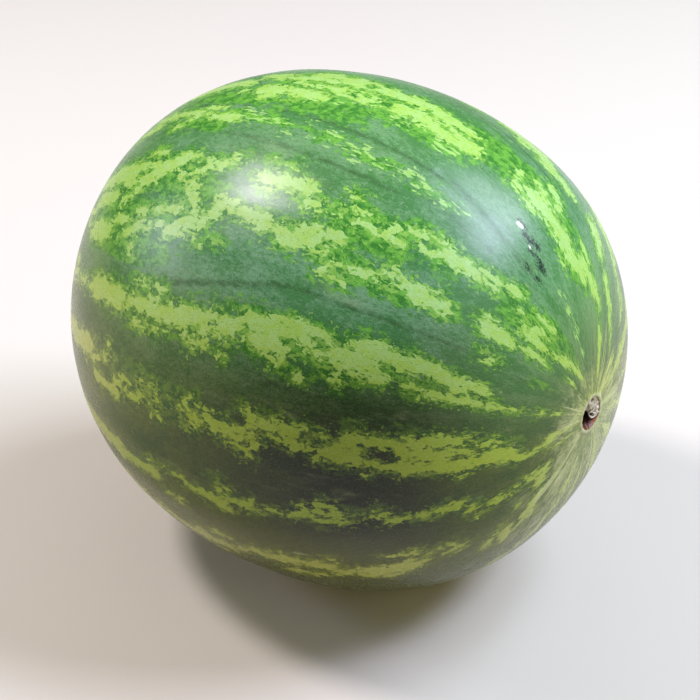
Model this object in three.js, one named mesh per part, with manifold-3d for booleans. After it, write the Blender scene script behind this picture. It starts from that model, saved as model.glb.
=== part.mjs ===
// A whole ripe watermelon lying on its side, as picked: a barrel-shaped fruit, a little taller than wide,
// with the torn stalk scar at one end, a small corky blossom scar at the other and a flat resting spot
// beneath. What is left of the dry stalk sits in the upper half of the scar's hollow.
// Millimetres. +X runs along the fruit to the stalk end, +Z is up, and the origin is on the resting
// surface, under the middle of the whole object.

import * as THREE from "three";
import { mergeVertices } from "three/addons/utils/BufferGeometryUtils.js";
import Module from "manifold-3d";

const wasm = await Module();
wasm.setup();

// ---- The fruit's outline --------------------------------------------------------------------------
// Along the fruit c = cos(theta) runs from 1 at the stalk end to -1 at the blossom end.
const HALF_LENGTH = 135; // from the middle to either end
const MIDDLE_RADIUS = 116.7; // half the width at the middle
const TAPER = 0.039; // how much the stalk half is fuller than the blossom half
const BARREL = 0.112; // fullness of both shoulders, over an ellipse
const SHOULDER = 0.032; // extra fullness of the stalk end's shoulder
const HEIGHT_FACTOR = 1.029; // height over width
const THREE_SIDED = 0.011; // a fuller crown and a flatter belly
const BEND = { y: 4.6, z: -1 }; // how far both ends stand off the middle's axis
const REST_DEPTH = 1.2; // how deep the belly is flattened where it lies

// ---- The scar where the stalk was torn off ---------------------------------------------------------
const HOLLOW = { floorRadius: 4.4, mouthRadius: 7.8, depth: 6.2 };
const LIP = { radius: 8.7, width: 1.3, height: 0.8 }; // the raised ring round the hollow

// ---- The scar where the blossom was ----------------------------------------------------------------
const DIMPLE = { radius: 13, depth: 1.6 };
const CORK = { innerRadius: 2.8, outerRadius: 4.4, height: 0.7 };

// ---- The dry stalk remnant -------------------------------------------------------------------------
const GAP = 0.35; // clearance to the hollow's wall and floor
const REMNANT = {
  topBelowLip: 0.8, // how far its worn face lies under the lip's crest
  firstAngle: -0.35, // where its torn edge leaves the wall, in radians from +Y
  lastAngle: 2.6, // where the torn edge meets the wall again
  arcSteps: 14,
  tornSteps: 7,
  tornBulge: 0.5, // how far the torn edge bows back into the remnant
  tornRoughness: 0.55, // how far the torn edge wanders from its line
  layers: 4,
};

// ---- How finely the solids are faceted -------------------------------------------------------------
const SEGMENTS = 60; // round the fruit
const RINGS = 70; // along the fruit
const CROWDING = 0.88; // how much closer the rings stand at the two ends

const smoothstep = (low, high, value) => THREE.MathUtils.smoothstep(value, low, high);

/** The fruit's plain radius and its place along X, at the angle theta from the stalk end. */
function outline(theta) {
  const c = Math.cos(theta);
  const fullness = 1 + TAPER * c + BARREL * c ** 2 + SHOULDER * c ** 3;
  return { radius: MIDDLE_RADIUS * Math.sin(theta) * fullness, x: HALF_LENGTH * c };
}

/** How far the stalk scar stands out of the plain outline, at a distance from its middle. */
function stalkRelief(radius) {
  const lip = LIP.height * Math.exp(-(((radius - LIP.radius) / LIP.width) ** 2));
  const open = 1 - smoothstep(HOLLOW.floorRadius, HOLLOW.mouthRadius, radius);
  return lip - HOLLOW.depth * open;
}

/** How far the blossom scar stands out of the plain outline, at a distance from its middle. */
function blossomRelief(radius) {
  const dimple = -DIMPLE.depth * Math.exp(-((radius / DIMPLE.radius) ** 2));
  const cork = CORK.height * (1 - smoothstep(CORK.innerRadius, CORK.outerRadius, radius));
  return dimple + cork;
}

/** The half section of the fruit, from the blossom end's axis to the stalk end's. */
function profile() {
  const points = [];
  for (let ring = RINGS; ring >= 0; ring -= 1) {
    const share = ring / RINGS;
    const theta = Math.PI * share - (CROWDING / 2) * Math.sin(2 * Math.PI * share);
    const { radius, x } = outline(theta);
    const relief = share < 0.5 ? stalkRelief(radius) : -blossomRelief(radius);
    const onAxis = ring === 0 || ring === RINGS;
    points.push(new THREE.Vector2(onAxis ? 0 : radius, x + relief));
  }
  return points;
}

/** Gives a round, straight body the fruit's height, its three-sided section and its bent axis. */
function growUneven(geometry) {
  const position = geometry.getAttribute("position");
  for (let i = 0; i < position.count; i += 1) {
    const [x, y, z] = [position.getX(i), position.getY(i), position.getZ(i)];
    const along = THREE.MathUtils.clamp(x / HALF_LENGTH, -1, 1) ** 2;
    const section = 1 - THREE_SIDED * Math.sin(3 * Math.atan2(z, y));
    const newY = y * section + BEND.y * along;
    const newZ = z * section * HEIGHT_FACTOR + BEND.z * along;
    position.setXYZ(i, x, newY, newZ);
  }
  return geometry;
}

/** A closed geometry as a manifold solid. */
function toSolid(geometry) {
  const bare = geometry.clone();
  bare.deleteAttribute("normal");
  bare.deleteAttribute("uv");
  const merged = mergeVertices(bare, 1e-4);
  return new wasm.Manifold(
    new wasm.Mesh({
      numProp: 3,
      vertProperties: new Float32Array(merged.getAttribute("position").array),
      triVerts: new Uint32Array(merged.getIndex().array),
    }),
  );
}

/** A manifold solid as a geometry. */
function toGeometry(solid) {
  const mesh = solid.getMesh();
  const geometry = new THREE.BufferGeometry();
  geometry.setAttribute("position", new THREE.BufferAttribute(mesh.vertProperties, 3));
  geometry.setIndex(new THREE.BufferAttribute(mesh.triVerts, 1));
  geometry.computeVertexNormals();
  return geometry;
}

/** The fruit: one solid, turned about X, grown uneven, and flattened where it lies. */
function makeFruit() {
  const turned = new THREE.LatheGeometry(profile(), SEGMENTS);
  // The lathe turns about Y: this takes Y to X, and keeps the body right side out.
  turned.rotateZ(-Math.PI / 2);
  growUneven(turned);
  turned.computeBoundingBox();
  const restZ = turned.boundingBox.min.z + REST_DEPTH;
  const below = new THREE.BoxGeometry(HALF_LENGTH, MIDDLE_RADIUS, MIDDLE_RADIUS);
  below.translate(0, 0, restZ - MIDDLE_RADIUS / 2);
  return toGeometry(toSolid(turned).subtract(toSolid(below)));
}

/** The hollow's radius at a share of its depth, from 0 at the mouth to 1 on the floor. */
function hollowRadius(share) {
  const step = 0.5 - Math.sin(Math.asin(1 - 2 * (1 - share)) / 3);
  return THREE.MathUtils.lerp(HOLLOW.floorRadius, HOLLOW.mouthRadius, step);
}

/** The remnant's outline across the scar: an arc along the wall, closed by a torn edge. */
function remnantOutline() {
  const { firstAngle, lastAngle, arcSteps, tornSteps, tornBulge, tornRoughness } = REMNANT;
  const points = [];
  for (let step = 0; step <= arcSteps; step += 1) {
    const angle = THREE.MathUtils.lerp(firstAngle, lastAngle, step / arcSteps);
    points.push(new THREE.Vector2(Math.cos(angle), Math.sin(angle)).multiplyScalar(HOLLOW.mouthRadius - GAP));
  }
  const [start, end] = [points[points.length - 1], points[0]];
  for (let step = 1; step < tornSteps; step += 1) {
    const share = step / tornSteps;
    const y = THREE.MathUtils.lerp(start.x, end.x, share);
    const wander = tornRoughness * Math.sin(5.3 * step) + tornBulge * Math.sin(Math.PI * share);
    points.push(new THREE.Vector2(y, THREE.MathUtils.lerp(start.y, end.y, share) + wander));
  }
  return new THREE.Shape(points);
}

/** The dry remnant: its outline drawn out along X, and narrowed with the hollow that it sits in. */
function makeRemnant() {
  const plainFloor = HALF_LENGTH - HOLLOW.depth;
  const top = HALF_LENGTH + LIP.height - REMNANT.topBelowLip;
  const thickness = top - plainFloor - GAP;
  const geometry = new THREE.ExtrudeGeometry(remnantOutline(), {
    depth: thickness,
    steps: REMNANT.layers,
    bevelEnabled: false,
  });
  const position = geometry.getAttribute("position");
  for (let i = 0; i < position.count; i += 1) {
    const fromTop = thickness - position.getZ(i);
    const share = THREE.MathUtils.clamp(fromTop / HOLLOW.depth, 0, 1);
    const narrowed = (hollowRadius(share) - GAP) / (HOLLOW.mouthRadius - GAP);
    position.setXY(i, position.getX(i) * narrowed, position.getY(i) * narrowed);
  }
  const [alongX, alongY, alongZ] = [
    new THREE.Vector3(1, 0, 0),
    new THREE.Vector3(0, 1, 0),
    new THREE.Vector3(0, 0, 1),
  ];
  geometry.applyMatrix4(new THREE.Matrix4().makeBasis(alongY, alongZ, alongX));
  geometry.translate(plainFloor + GAP, 0, 0);
  return growUneven(geometry);
}

/** A named mesh with its own material. */
function makeMesh(name, geometry, color, roughness) {
  const material = new THREE.MeshStandardMaterial({ color, roughness, metalness: 0 });
  const mesh = new THREE.Mesh(geometry, material);
  mesh.name = name;
  return mesh;
}

const watermelon = new THREE.Group();
watermelon.add(makeMesh("fruit", makeFruit(), "#3f7d3a", 0.42));
watermelon.add(makeMesh("stalk_remnant", makeRemnant(), "#a39a7c", 0.9));

// The whole stands on Z = 0, with the middle of its box over the origin.
const box = new THREE.Box3().setFromObject(watermelon, true);
const middle = box.getCenter(new THREE.Vector3());
watermelon.position.set(-middle.x, -middle.y, -box.min.z);

export default watermelon;
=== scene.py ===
"""A whole striped watermelon lying on its side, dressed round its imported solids.

The rind is one fine skin, grown by the formula that the solid has. Its markings are strokes on a map of the
fruit, kept as attributes, and the material's noise gives them their ragged edges. In the stalk scar sit the
corky remnant of the stalk and its torn fibres.

Metres. +X runs to the stalk end, +Z is up, and the origin is on the floor under the middle of the fruit.
A place on the rind is a pair of degrees: the polar angle is 0 at the stalk end and 180 at the blossom end,
and the turn goes round the fruit, from 0 on +Y over 90 on top to 180 on -Y and 270 beneath.
"""

import logging
import math
import random
from dataclasses import dataclass, field
from enum import Enum

import bpy
import numpy as np
from mathutils import Matrix, Vector


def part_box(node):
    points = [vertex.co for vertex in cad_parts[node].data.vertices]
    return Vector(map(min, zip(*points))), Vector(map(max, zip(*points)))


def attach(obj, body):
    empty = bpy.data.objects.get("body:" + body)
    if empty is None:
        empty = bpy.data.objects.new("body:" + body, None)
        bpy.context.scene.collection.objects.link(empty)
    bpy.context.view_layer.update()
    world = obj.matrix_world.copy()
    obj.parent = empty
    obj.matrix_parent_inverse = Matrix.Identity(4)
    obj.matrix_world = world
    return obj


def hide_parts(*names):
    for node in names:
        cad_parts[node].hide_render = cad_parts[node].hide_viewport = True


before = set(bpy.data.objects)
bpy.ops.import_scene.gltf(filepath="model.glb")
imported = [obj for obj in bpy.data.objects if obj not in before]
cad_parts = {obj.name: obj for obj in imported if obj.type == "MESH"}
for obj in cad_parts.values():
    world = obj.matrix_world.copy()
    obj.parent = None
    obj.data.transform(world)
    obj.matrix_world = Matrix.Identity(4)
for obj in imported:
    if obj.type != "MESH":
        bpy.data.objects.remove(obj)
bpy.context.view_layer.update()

LOG = logging.getLogger("watermelon")
BODY = "root"
MM = 0.001
DEGREES_PER_RADIAN = math.degrees(1.0)
NOISE_MIDDLE = 0.5  # a noise texture wanders about this value
TINY = 1e-9  # stands for the length of a stroke whose ends meet

Piece = bpy.types.Object
Socket = bpy.types.NodeSocket
Stroke = tuple[float, float, float, float, float]
Quad = tuple[float, float, float, float]
Colour = Quad
Span = tuple[float, float]
Triple = tuple[float, float, float]


class Slot(Enum):
    """The record's material slots."""

    RIND = "rind"
    DRY_STALK = "dry_stalk"


class Mark(Enum):
    """The attributes that carry the markings from the mesh to the materials."""

    GRAIN = "grain"
    FAN = "fan"
    LOW_SHADE = "low_shade_share"
    SHADE = "shade_share"
    UNDER_AND_RIM_LIGHT = "under_and_rim_light_share"
    PALE = "pale_reach"
    FLECK = "fleck_reach"
    GREEN = "green_reach"
    VEIN = "vein_reach"
    HAZE = "haze_share"
    RAY = "ray_share"
    WARM_CAST = "painted_warm_cast_share"
    STRAND = "strand_place"
    GROUND = "ground_reach"
    HOLLOW = "hollow_share"
    LIP = "lip_share"
    CORK = "cork_share"
    CHIP = "chip_reach"
    SCUFF = "scuff_reach"
    PIT_SHADE = "pit_share"


# ---- Strokes on the rind -----------------------------------------------------------------------------
# Each is polar angle and turn at one end, the same at the other, and half its width, all in degrees.

PALE_STROKES: dict[str, list[Stroke]] = {
    "far crown": [
        (13, 48, 18, 52, 1.1), (18, 53, 25, 57.5, 1.9), (31.5, 58.5, 37, 57, 1.9),
        (33, 54, 39.5, 53.5, 0.9), (45, 62, 53, 62, 2.0), (49, 64, 52, 65, 1.4), (21, 34, 28, 39, 1.0),
        (24, 31, 27, 34, 0.8), (15.5, 26, 17.5, 18, 0.7), (20, 22, 25, 17, 0.9), (7.5, 31, 8.5, 25, 0.7),
        (9.5, 40, 11.5, 33, 0.7),
    ],
    "crown": [
        (9, 70, 14, 70, 2.6), (21, 69, 29, 76, 1.9), (29, 71, 32, 72, 1.2), (26, 79, 29, 79, 1.8),
        (30, 82, 44, 83, 2.9), (34, 79, 45, 79, 0.8), (30.5, 88, 32, 88, 1.0), (42.5, 87, 44, 87, 0.8),
        (41, 75.5, 45, 72, 1.3), (45, 77.5, 47, 77.5, 0.9), (45, 86, 49, 86, 0.9),
        (50, 83, 51.5, 81, 0.9), (61, 87, 76, 87, 2.9), (62, 81.5, 72, 81.5, 1.4),
        (72, 80.5, 80, 80.5, 1.7), (75, 81.5, 90, 81.5, 2.4), (83, 88, 90, 88, 2.3),
        (90, 82, 98, 82, 3.4), (92, 87.5, 100, 87.5, 1.0), (93, 93, 98, 93, 2.3),
        (98, 93.3, 104.5, 93.3, 2.9), (104, 96, 104, 96.6, 0.7), (100, 85, 105, 85, 1.9),
        (105, 84, 110, 84, 1.4), (113, 89, 118, 89, 2.3), (120, 90, 127, 91, 2.9),
        (110.5, 94.5, 111, 94.5, 0.8), (105, 105.5, 111, 105.5, 1.0), (110.5, 102.3, 114, 102.3, 0.6),
        (114, 104.2, 128, 104.2, 1.2), (116, 106.5, 120, 109, 0.8), (125, 103, 131, 103.3, 1.1),
        (128, 107, 135, 109, 1.4),
    ],
    "broad, upper side": [
        (10, 109, 17, 119, 1.7), (10.5, 121.5, 11.5, 124.5, 0.9), (17.5, 119.5, 18.8, 121, 0.6),
        (22.5, 112, 26, 113.5, 1.2), (26, 114.5, 27, 115.5, 0.6), (33, 112.5, 35.5, 114.5, 0.9),
        (22, 116, 23, 118.5, 0.8), (24, 116, 27, 121, 0.9), (22.5, 122.5, 26, 122.5, 2.0),
        (28, 121, 28.8, 125, 0.9), (31.5, 118, 31.8, 118.2, 0.5), (28, 118.5, 28.4, 118.5, 0.5),
        (37, 115.5, 42, 115.8, 0.7), (42, 117.8, 50, 118, 1.9), (38, 118, 40.5, 118, 0.9),
        (50, 116.2, 55.5, 115.6, 0.8), (51, 120.3, 54.5, 120.3, 0.5), (55, 117, 60.5, 119, 0.8),
        (59, 121.5, 64, 121.6, 1.0), (64, 121.2, 68, 121.2, 0.8), (65.5, 119.3, 70, 119.3, 0.5),
        (70.5, 116.5, 72, 116.5, 0.4), (71.5, 121, 72, 121.3, 0.4), (77, 121, 79, 122, 0.8),
        (80, 119, 85.5, 119, 1.8), (85, 119, 89.5, 119.5, 1.3), (86.5, 122, 89, 122, 0.8),
        (85, 115, 90, 115.5, 0.5), (96, 117, 98, 117, 0.5), (97, 118.5, 99, 118.5, 0.5),
        (100, 119.2, 110, 119.2, 0.9), (110, 120, 117, 125, 1.9), (103, 121.5, 108, 124.5, 0.9),
        (117, 118.5, 120, 118.5, 0.8), (118, 124.5, 131, 125.5, 3.9), (131, 125, 140, 127, 2.6),
    ],
    "broad, lower side": [
        (21, 128, 24.5, 128, 1.4), (26, 128.5, 26.3, 128.5, 0.4), (31, 129.3, 35.5, 129.3, 2.4),
        (35, 127, 37, 127, 0.6), (35, 129, 37.3, 129, 0.6), (45, 131.2, 51, 131.2, 1.6),
        (51, 129.2, 54, 129.2, 0.6), (47.5, 127.5, 47.8, 127.6, 0.4), (53, 129.5, 59, 129.5, 0.8),
        (57, 127.5, 57.2, 129, 0.4), (55, 131, 57, 132, 0.5), (60, 130.5, 69, 132.5, 1.0),
        (66, 134.5, 69.5, 134.5, 0.5), (69.2, 133, 69.3, 134, 0.4), (69.5, 126.8, 75, 126.8, 0.9),
        (74, 128, 79, 130.5, 2.2), (71, 131, 73, 131, 0.7), (80, 129.5, 84, 130, 1.3),
        (85, 128, 89.5, 128.5, 1.2), (92.8, 128, 96, 128, 1.1), (95.5, 131.5, 98.5, 134, 1.3),
        (104.5, 125, 100, 131, 1.2), (101, 134, 104.5, 138, 1.1), (104, 131.5, 115, 135, 1.0),
        (110, 136, 111.5, 139, 0.7), (112, 137, 114, 138.5, 0.9), (113.5, 139.5, 117, 140.5, 0.9),
        (119, 138, 121.5, 138, 1.1), (118.5, 142.7, 118.8, 142.7, 0.6), (123, 143.2, 125, 143.2, 0.8),
        (113.5, 143.5, 113.8, 143.5, 0.5), (112, 145.5, 112.3, 145.5, 0.5), (119, 130, 122, 132.5, 1.0),
        (122.5, 134, 123, 134, 0.5), (125, 142, 132, 142.5, 2.6), (128, 132, 136, 133.5, 2.4),
        (107.5, 136.5, 108, 136.5, 0.6), (92, 136, 94, 136, 0.4), (96, 137.5, 98, 137.5, 0.4),
        (99, 137, 101, 137, 0.4), (31.5, 137, 32.8, 139, 0.7), (34, 136.5, 34.4, 136.5, 0.4),
    ],
    "shoulder": [
        (11.5, 153, 12.5, 155.5, 1.0), (16, 153, 16.8, 156.5, 0.5), (22, 155.1, 26, 155, 0.6),
        (28, 154.2, 38, 154.2, 1.2), (38.5, 154.5, 44, 154.5, 1.0), (45, 153.5, 47, 153.5, 0.4),
        (31.8, 149.1, 40, 148.5, 1.5), (40, 148.5, 46, 147, 1.9), (46, 148.6, 49, 148.8, 1.1),
        (35, 151.5, 38, 151.5, 0.4), (50.3, 147.8, 57, 147.8, 2.3), (57.5, 147.3, 59.5, 147.3, 0.4),
        (52, 153.2, 60, 153.2, 1.2), (55, 150.5, 63, 151.5, 2.4), (63, 151.5, 68, 151.5, 1.5),
        (65, 148.2, 72, 148.2, 1.8), (70, 149, 79, 149.5, 2.0), (73, 152.5, 78, 152.5, 2.2),
        (60.3, 156, 60.8, 156, 0.7), (72, 156, 73.5, 156, 0.6), (68, 158, 68.3, 158, 0.4),
        (80.5, 149.5, 84, 154, 1.2), (84, 152.5, 92, 153, 2.4), (92, 153.5, 100, 155, 2.4),
        (88.3, 156, 88.5, 157.5, 0.6), (90.5, 157, 90.6, 159, 0.5), (93, 156.5, 93.1, 157.6, 0.5),
        (101, 152.5, 103.5, 152.5, 0.5), (102, 155, 106.5, 155, 1.5), (106, 155.5, 109, 155.5, 1.2),
        (109, 156, 111, 156, 0.6), (113, 156, 122, 156, 2.7), (122, 156.5, 124.8, 157.3, 1.0),
        (100, 158, 104, 159, 0.5), (104, 159.5, 106.5, 159.8, 0.9), (84, 158.5, 84.3, 158.5, 0.4),
        (106, 150, 108.5, 150, 0.5), (101, 150, 101.4, 150, 0.4), (128.5, 157.5, 133, 157.5, 1.0),
    ],
    "flank": [
        (11, 174, 14, 182, 1.4), (14, 181.5, 19.5, 181.5, 1.9), (20, 180, 24, 180, 0.9),
        (6, 176, 12, 177, 1.0), (7, 190, 12, 188, 1.0), (22.5, 176.5, 44, 176.3, 2.0),
        (44, 175.6, 52, 175.8, 1.0), (23, 173.5, 31, 173.5, 0.8), (26, 170, 28.5, 170, 0.9),
        (24, 169.5, 26, 169.5, 0.4), (26, 167.5, 26.4, 167.5, 0.4), (30, 168.5, 30.4, 168.5, 0.5),
        (31.5, 166, 35, 168, 0.6), (35, 167.6, 40, 167.6, 1.2), (32, 172, 36, 170.5, 0.8),
        (36, 172.5, 45, 172.5, 1.5), (40, 169.2, 48, 169.2, 1.6), (44, 169.2, 56, 169.2, 1.2),
        (52, 173.5, 59.5, 173.5, 2.5), (59, 170, 63, 170, 0.8), (64, 171.5, 67, 171.5, 0.6),
        (67, 170.5, 75, 170.5, 1.5), (60, 173, 64, 173.2, 0.4), (66, 172.6, 70, 173, 0.4),
        (60.5, 175.5, 62, 175.5, 0.4), (67.7, 173.7, 68, 173.7, 0.4), (65, 168.8, 77.5, 168.8, 0.5),
        (75, 174.5, 80, 174.5, 1.2), (80, 174.5, 85.5, 172.8, 1.2), (76, 178.5, 79, 176.5, 0.8),
        (79, 176.5, 83, 175.5, 0.8), (87.3, 171.5, 87.5, 171.5, 0.5), (89.5, 170, 89.7, 170, 0.5),
        (90.5, 172, 90.7, 172, 0.5), (91.7, 173, 91.9, 173, 0.5), (86, 174.5, 89, 174.5, 0.5),
        (88, 176.5, 90, 176.5, 0.5), (98.8, 172, 99.5, 172, 0.6), (101.5, 171.8, 102.4, 171.8, 0.6),
        (98, 174.7, 103, 174.7, 0.8), (97.3, 177.5, 98, 177.5, 0.6), (103, 176.5, 105, 176.5, 0.6),
        (106, 174, 108.5, 174, 0.6), (105.5, 176, 110.5, 176, 1.0), (110, 178.5, 117, 178.5, 1.5),
        (114, 171, 120, 175, 0.7), (120, 170, 123, 176, 0.8), (112, 170.5, 112.3, 170.5, 0.4),
        (113.5, 168, 113.8, 168, 0.4), (123, 173, 135, 175, 2.9), (52, 178, 52.3, 178, 0.4),
        (32.5, 181, 32.8, 181, 0.4),
    ],
    "lower flank": [
        (16, 198.5, 17.5, 198.5, 1.0), (18, 196.5, 19.5, 196.5, 0.45), (13.5, 200.5, 16.5, 203, 0.9),
        (14.8, 204, 16.5, 212, 1.4), (20, 202.5, 22, 202.5, 0.35), (21, 198.5, 23, 198.5, 0.3),
        (25.5, 198, 26, 198, 0.3), (23.5, 200, 30, 202, 0.65), (30.5, 195.5, 32, 198.5, 0.65),
        (33, 192, 35, 192, 0.55), (35, 193.3, 40.5, 193.3, 1.35), (41, 193.5, 44, 193.5, 0.35),
        (45.5, 193, 48, 193.5, 0.75), (48.5, 191.2, 51.5, 191.2, 0.75), (50, 189, 50.3, 189, 0.3),
        (55, 190.5, 58, 190.5, 0.35), (56, 193, 58, 193, 0.55), (58, 190.8, 62, 190.8, 0.45),
        (59.5, 188.3, 62, 188.3, 0.35), (59, 193, 63, 193, 0.55), (63, 192, 67, 192, 0.55),
        (65, 189.5, 65.3, 189.5, 0.5), (70, 192.5, 74.5, 192.5, 0.4), (75.5, 192.7, 78, 192.7, 1.2),
        (79, 192, 83, 192, 0.9), (81, 190, 83, 191, 0.7), (83, 188, 83.2, 188, 0.4),
        (82, 193.8, 87, 193.8, 0.9), (81.5, 195.5, 84, 195.5, 0.6), (88, 193.5, 91, 193.5, 0.5),
        (93, 191.5, 97, 191.5, 0.5), (99, 191.5, 100, 191.5, 0.4), (94, 199.7, 97, 199.7, 0.4),
        (100, 195, 112, 196, 1.6), (112, 196, 130, 196, 2.6),
    ],
    "low": [
        (36, 215, 38.5, 215, 1.3), (37.5, 210.5, 39, 210.5, 0.9), (42, 211.5, 44, 214, 1.0),
        (44, 208.5, 47, 208.5, 1.1), (47, 215, 55, 215, 2.7), (46, 212.3, 50, 213, 0.8),
        (50, 218.5, 53, 218, 0.9), (50, 207.5, 50.3, 207.5, 0.5), (62, 208, 62.4, 208, 0.5),
        (55, 214, 62, 214, 1.8), (63, 211, 79, 210, 1.7), (66, 216, 73, 216, 0.9),
        (22.2, 211.8, 22.3, 213.2, 0.5),
    ],
    "lowest": [
        (12, 219, 17, 219.5, 1.0), (18, 221, 22, 226, 1.9), (20.5, 230, 22, 232, 0.9),
        (26.5, 218, 28.3, 220.5, 0.8), (27, 223, 28.7, 229.5, 1.5), (22, 228, 26, 229, 1.0),
        (31, 222, 33, 226, 0.7),
    ],
}

# Faint flecks that lie by themselves in the dark bands.
FLECK_STROKES: list[Stroke] = [
    (13.5, 96.5, 13.5, 98.5, 0.6), (16.5, 98.5, 17.2, 100, 0.6), (18, 95, 20, 97.5, 0.6),
    (22.5, 96, 22.5, 98, 0.6), (23, 99.5, 23.5, 99.5, 0.5), (25.5, 95.5, 26.5, 97, 0.6),
    (51, 105.5, 53.5, 106.5, 0.4), (55, 106.5, 58, 107.5, 0.5), (60, 106.5, 63, 106.5, 0.8),
    (63.5, 103, 64, 104, 0.5), (62, 104.6, 67, 104.3, 0.6), (65, 106, 70, 106, 0.8),
    (71, 106.5, 74, 106.5, 0.7), (74, 104.3, 76, 104.3, 0.5), (76, 105.3, 79, 105, 0.7),
    (76, 108, 76.5, 108, 0.5), (81, 103.5, 84, 103, 0.6), (81, 106, 82, 106, 0.5),
    (85, 106.5, 85.3, 106.5, 0.4), (88, 102.5, 88.4, 102.5, 0.5), (93, 105, 97, 104.3, 0.7),
    (98, 104.5, 100, 104.3, 0.7), (94, 103.4, 95, 103.4, 0.4), (100, 102.5, 104, 102.5, 0.7),
    (101, 105.5, 104, 106.5, 0.8), (90, 107.5, 92, 107.5, 0.4), (61, 91.5, 62, 92, 0.6),
    (63, 91, 63.5, 93, 0.5), (65, 92, 66, 91.5, 0.5), (64, 93.5, 66, 93.3, 0.5), (69, 91, 70.5, 91, 0.5),
    (73, 92, 74, 92.5, 0.4), (76, 91.5, 76.5, 93, 0.4), (78, 93, 79, 92.5, 0.4),
    (84, 92, 85.5, 92.3, 0.5), (87, 93, 88, 93.5, 0.4), (89, 91.5, 90, 92, 0.6),
]

# Small dark islands in the pale blotches.
DARK_ISLANDS: list[Stroke] = [
    (79, 83.5, 79.5, 85, 0.6), (82, 86.5, 82.3, 88, 1.0), (84.5, 87, 86.5, 88.5, 0.7),
    (86.5, 86.5, 89, 88, 0.6), (90, 86, 92, 85, 0.5), (93, 83.5, 94, 82.5, 0.5), (97, 88, 99, 86, 0.9),
    (95, 86.5, 96, 86, 0.5), (103, 89, 104.5, 86, 0.9), (86, 80.5, 88, 81.8, 0.5),
    (65, 87, 66.5, 86, 0.4), (73, 82, 74.5, 82, 0.6), (99.3, 95.5, 99.3, 97, 1.2),
    (72, 89, 74, 88.5, 0.4), (65.5, 83.6, 67.5, 83.6, 0.5), (76, 84.3, 78, 84.3, 0.8),
    (81.5, 88.5, 82.5, 90, 1.2), (87, 83, 87.6, 85.5, 0.9), (98.6, 94.5, 100, 94, 0.9),
    (117.5, 123.5, 121.5, 125, 0.9), (120, 128, 121.5, 129, 0.8), (127, 128.5, 131, 129, 1.0),
    (61.7, 152.3, 63.3, 152.3, 0.6), (65.2, 149.5, 66.8, 149.5, 0.7), (69, 151.5, 71, 151.5, 1.2),
    (86.3, 152.7, 87.7, 152.7, 0.6), (90.8, 155.2, 91.8, 155.2, 0.6), (47.5, 172.5, 51.5, 172.5, 1.9),
    (48.6, 211.2, 50.6, 211.2, 1.0), (37.5, 85, 39, 85, 0.5), (68, 84.6, 71, 84.3, 0.6),
]

# Where the rind is a saturated middle green between the dark bands and the pale blotches.
GREEN_STROKES: list[Stroke] = [
    (48, 79, 62, 79, 4.5), (60, 92.5, 105, 92.5, 2.3), (34, 75.5, 40, 75.5, 2.5), (100, 98, 130, 98, 2.6),
    (108, 108, 118, 108, 3.0), (62, 85, 100, 86, 6.5), (54, 106, 102, 104.5, 1.5), (82, 97, 106, 98, 2.6),
    (34, 83, 60, 84, 4.0), (15, 112, 30, 120, 6.5), (60, 122.5, 70, 122.5, 5.0), (55, 132, 70, 132, 3.6),
    (70, 129.5, 75, 129.5, 1.5), (100, 125, 118, 125, 5.0), (110, 139, 130, 139, 8.5),
    (28, 151.5, 50, 151.5, 1.5), (60, 156, 75, 156, 1.0), (95, 158, 110, 158, 2.0),
    (80, 147.5, 84, 147.5, 1.5), (22, 170, 32, 170, 3.0), (90, 173, 110, 173, 5.0),
    (18, 139, 20, 139, 1.8), (112, 98, 132, 92, 4.0),
]

# The thin dark lines in the middle of the dark bands.
VEIN_STROKES: list[Stroke] = [
    (45, 70, 75, 69, 0.3), (60, 101, 95, 100.5, 0.35), (95, 100.5, 130, 101, 0.35),
    (65, 111, 125, 110.5, 0.3), (40, 139, 75, 140, 0.3), (75, 140, 95, 146.5, 0.45),
    (95, 146.5, 108, 149.5, 0.45), (45, 161, 75, 161, 0.3), (40, 185, 60, 181, 0.3),
    (20, 141, 40, 139, 0.2), (60, 204, 90, 202, 0.3), (34.5, 105.7, 46.3, 103.3, 0.2),
    (46.3, 103.3, 57.4, 100.1, 0.2), (43, 109.3, 50, 109.3, 0.2), (50, 109.3, 61, 107.3, 0.2),
]

# Faint creases in the skin.
CREASE_STROKES: list[Stroke] = [
    (34.5, 105.7, 46.3, 103.3, 0.0), (46.3, 103.3, 60, 100.1, 0.0),
]

CHIP_STROKES: list[Stroke] = [(41.7, 95.5, 42.4, 95.6, 0.65), (37.2, 98.3, 37.9, 97.7, 0.3)]
SCUFF_STROKES: list[Stroke] = [
    (41, 94.6, 43, 94.4, 0.4), (40, 96.5, 38.6, 96.8, 0.7), (37.6, 95.6, 36.6, 95.4, 0.8),
    (36.8, 98.8, 36.2, 98.2, 0.4), (34.6, 98.2, 33.2, 98.6, 0.7), (33.2, 99.6, 32.2, 99.2, 0.8),
    (35.6, 103.4, 34.6, 104.4, 0.4), (32.4, 104.2, 31.8, 103.2, 0.5),
]


# ---- Curves that the shapes and markings share -------------------------------------------------------


def smoothstep(low: float, high: float, value: np.ndarray) -> np.ndarray:
    """Eases from 0 at low to 1 at high.

    Args:
        low: where the step starts.
        high: where the step ends, which may be under low.
        value: the values to ease.

    Returns:
        The eased values, from 0 to 1.
    """
    share = np.clip((value - low) / (high - low), 0.0, 1.0)
    return share * share * (3.0 - 2.0 * share)


def bell(distance: np.ndarray, width: float | np.ndarray) -> np.ndarray:
    """Returns 1 where the distance is 0, falling to about a third a width away."""
    return np.exp(-((distance / width) ** 2))


def turn_apart(turn: np.ndarray, middle: float) -> np.ndarray:
    """Returns how far each turn is from the middle one, the short way round, in degrees."""
    return (turn - middle + 180.0) % 360.0 - 180.0


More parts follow.
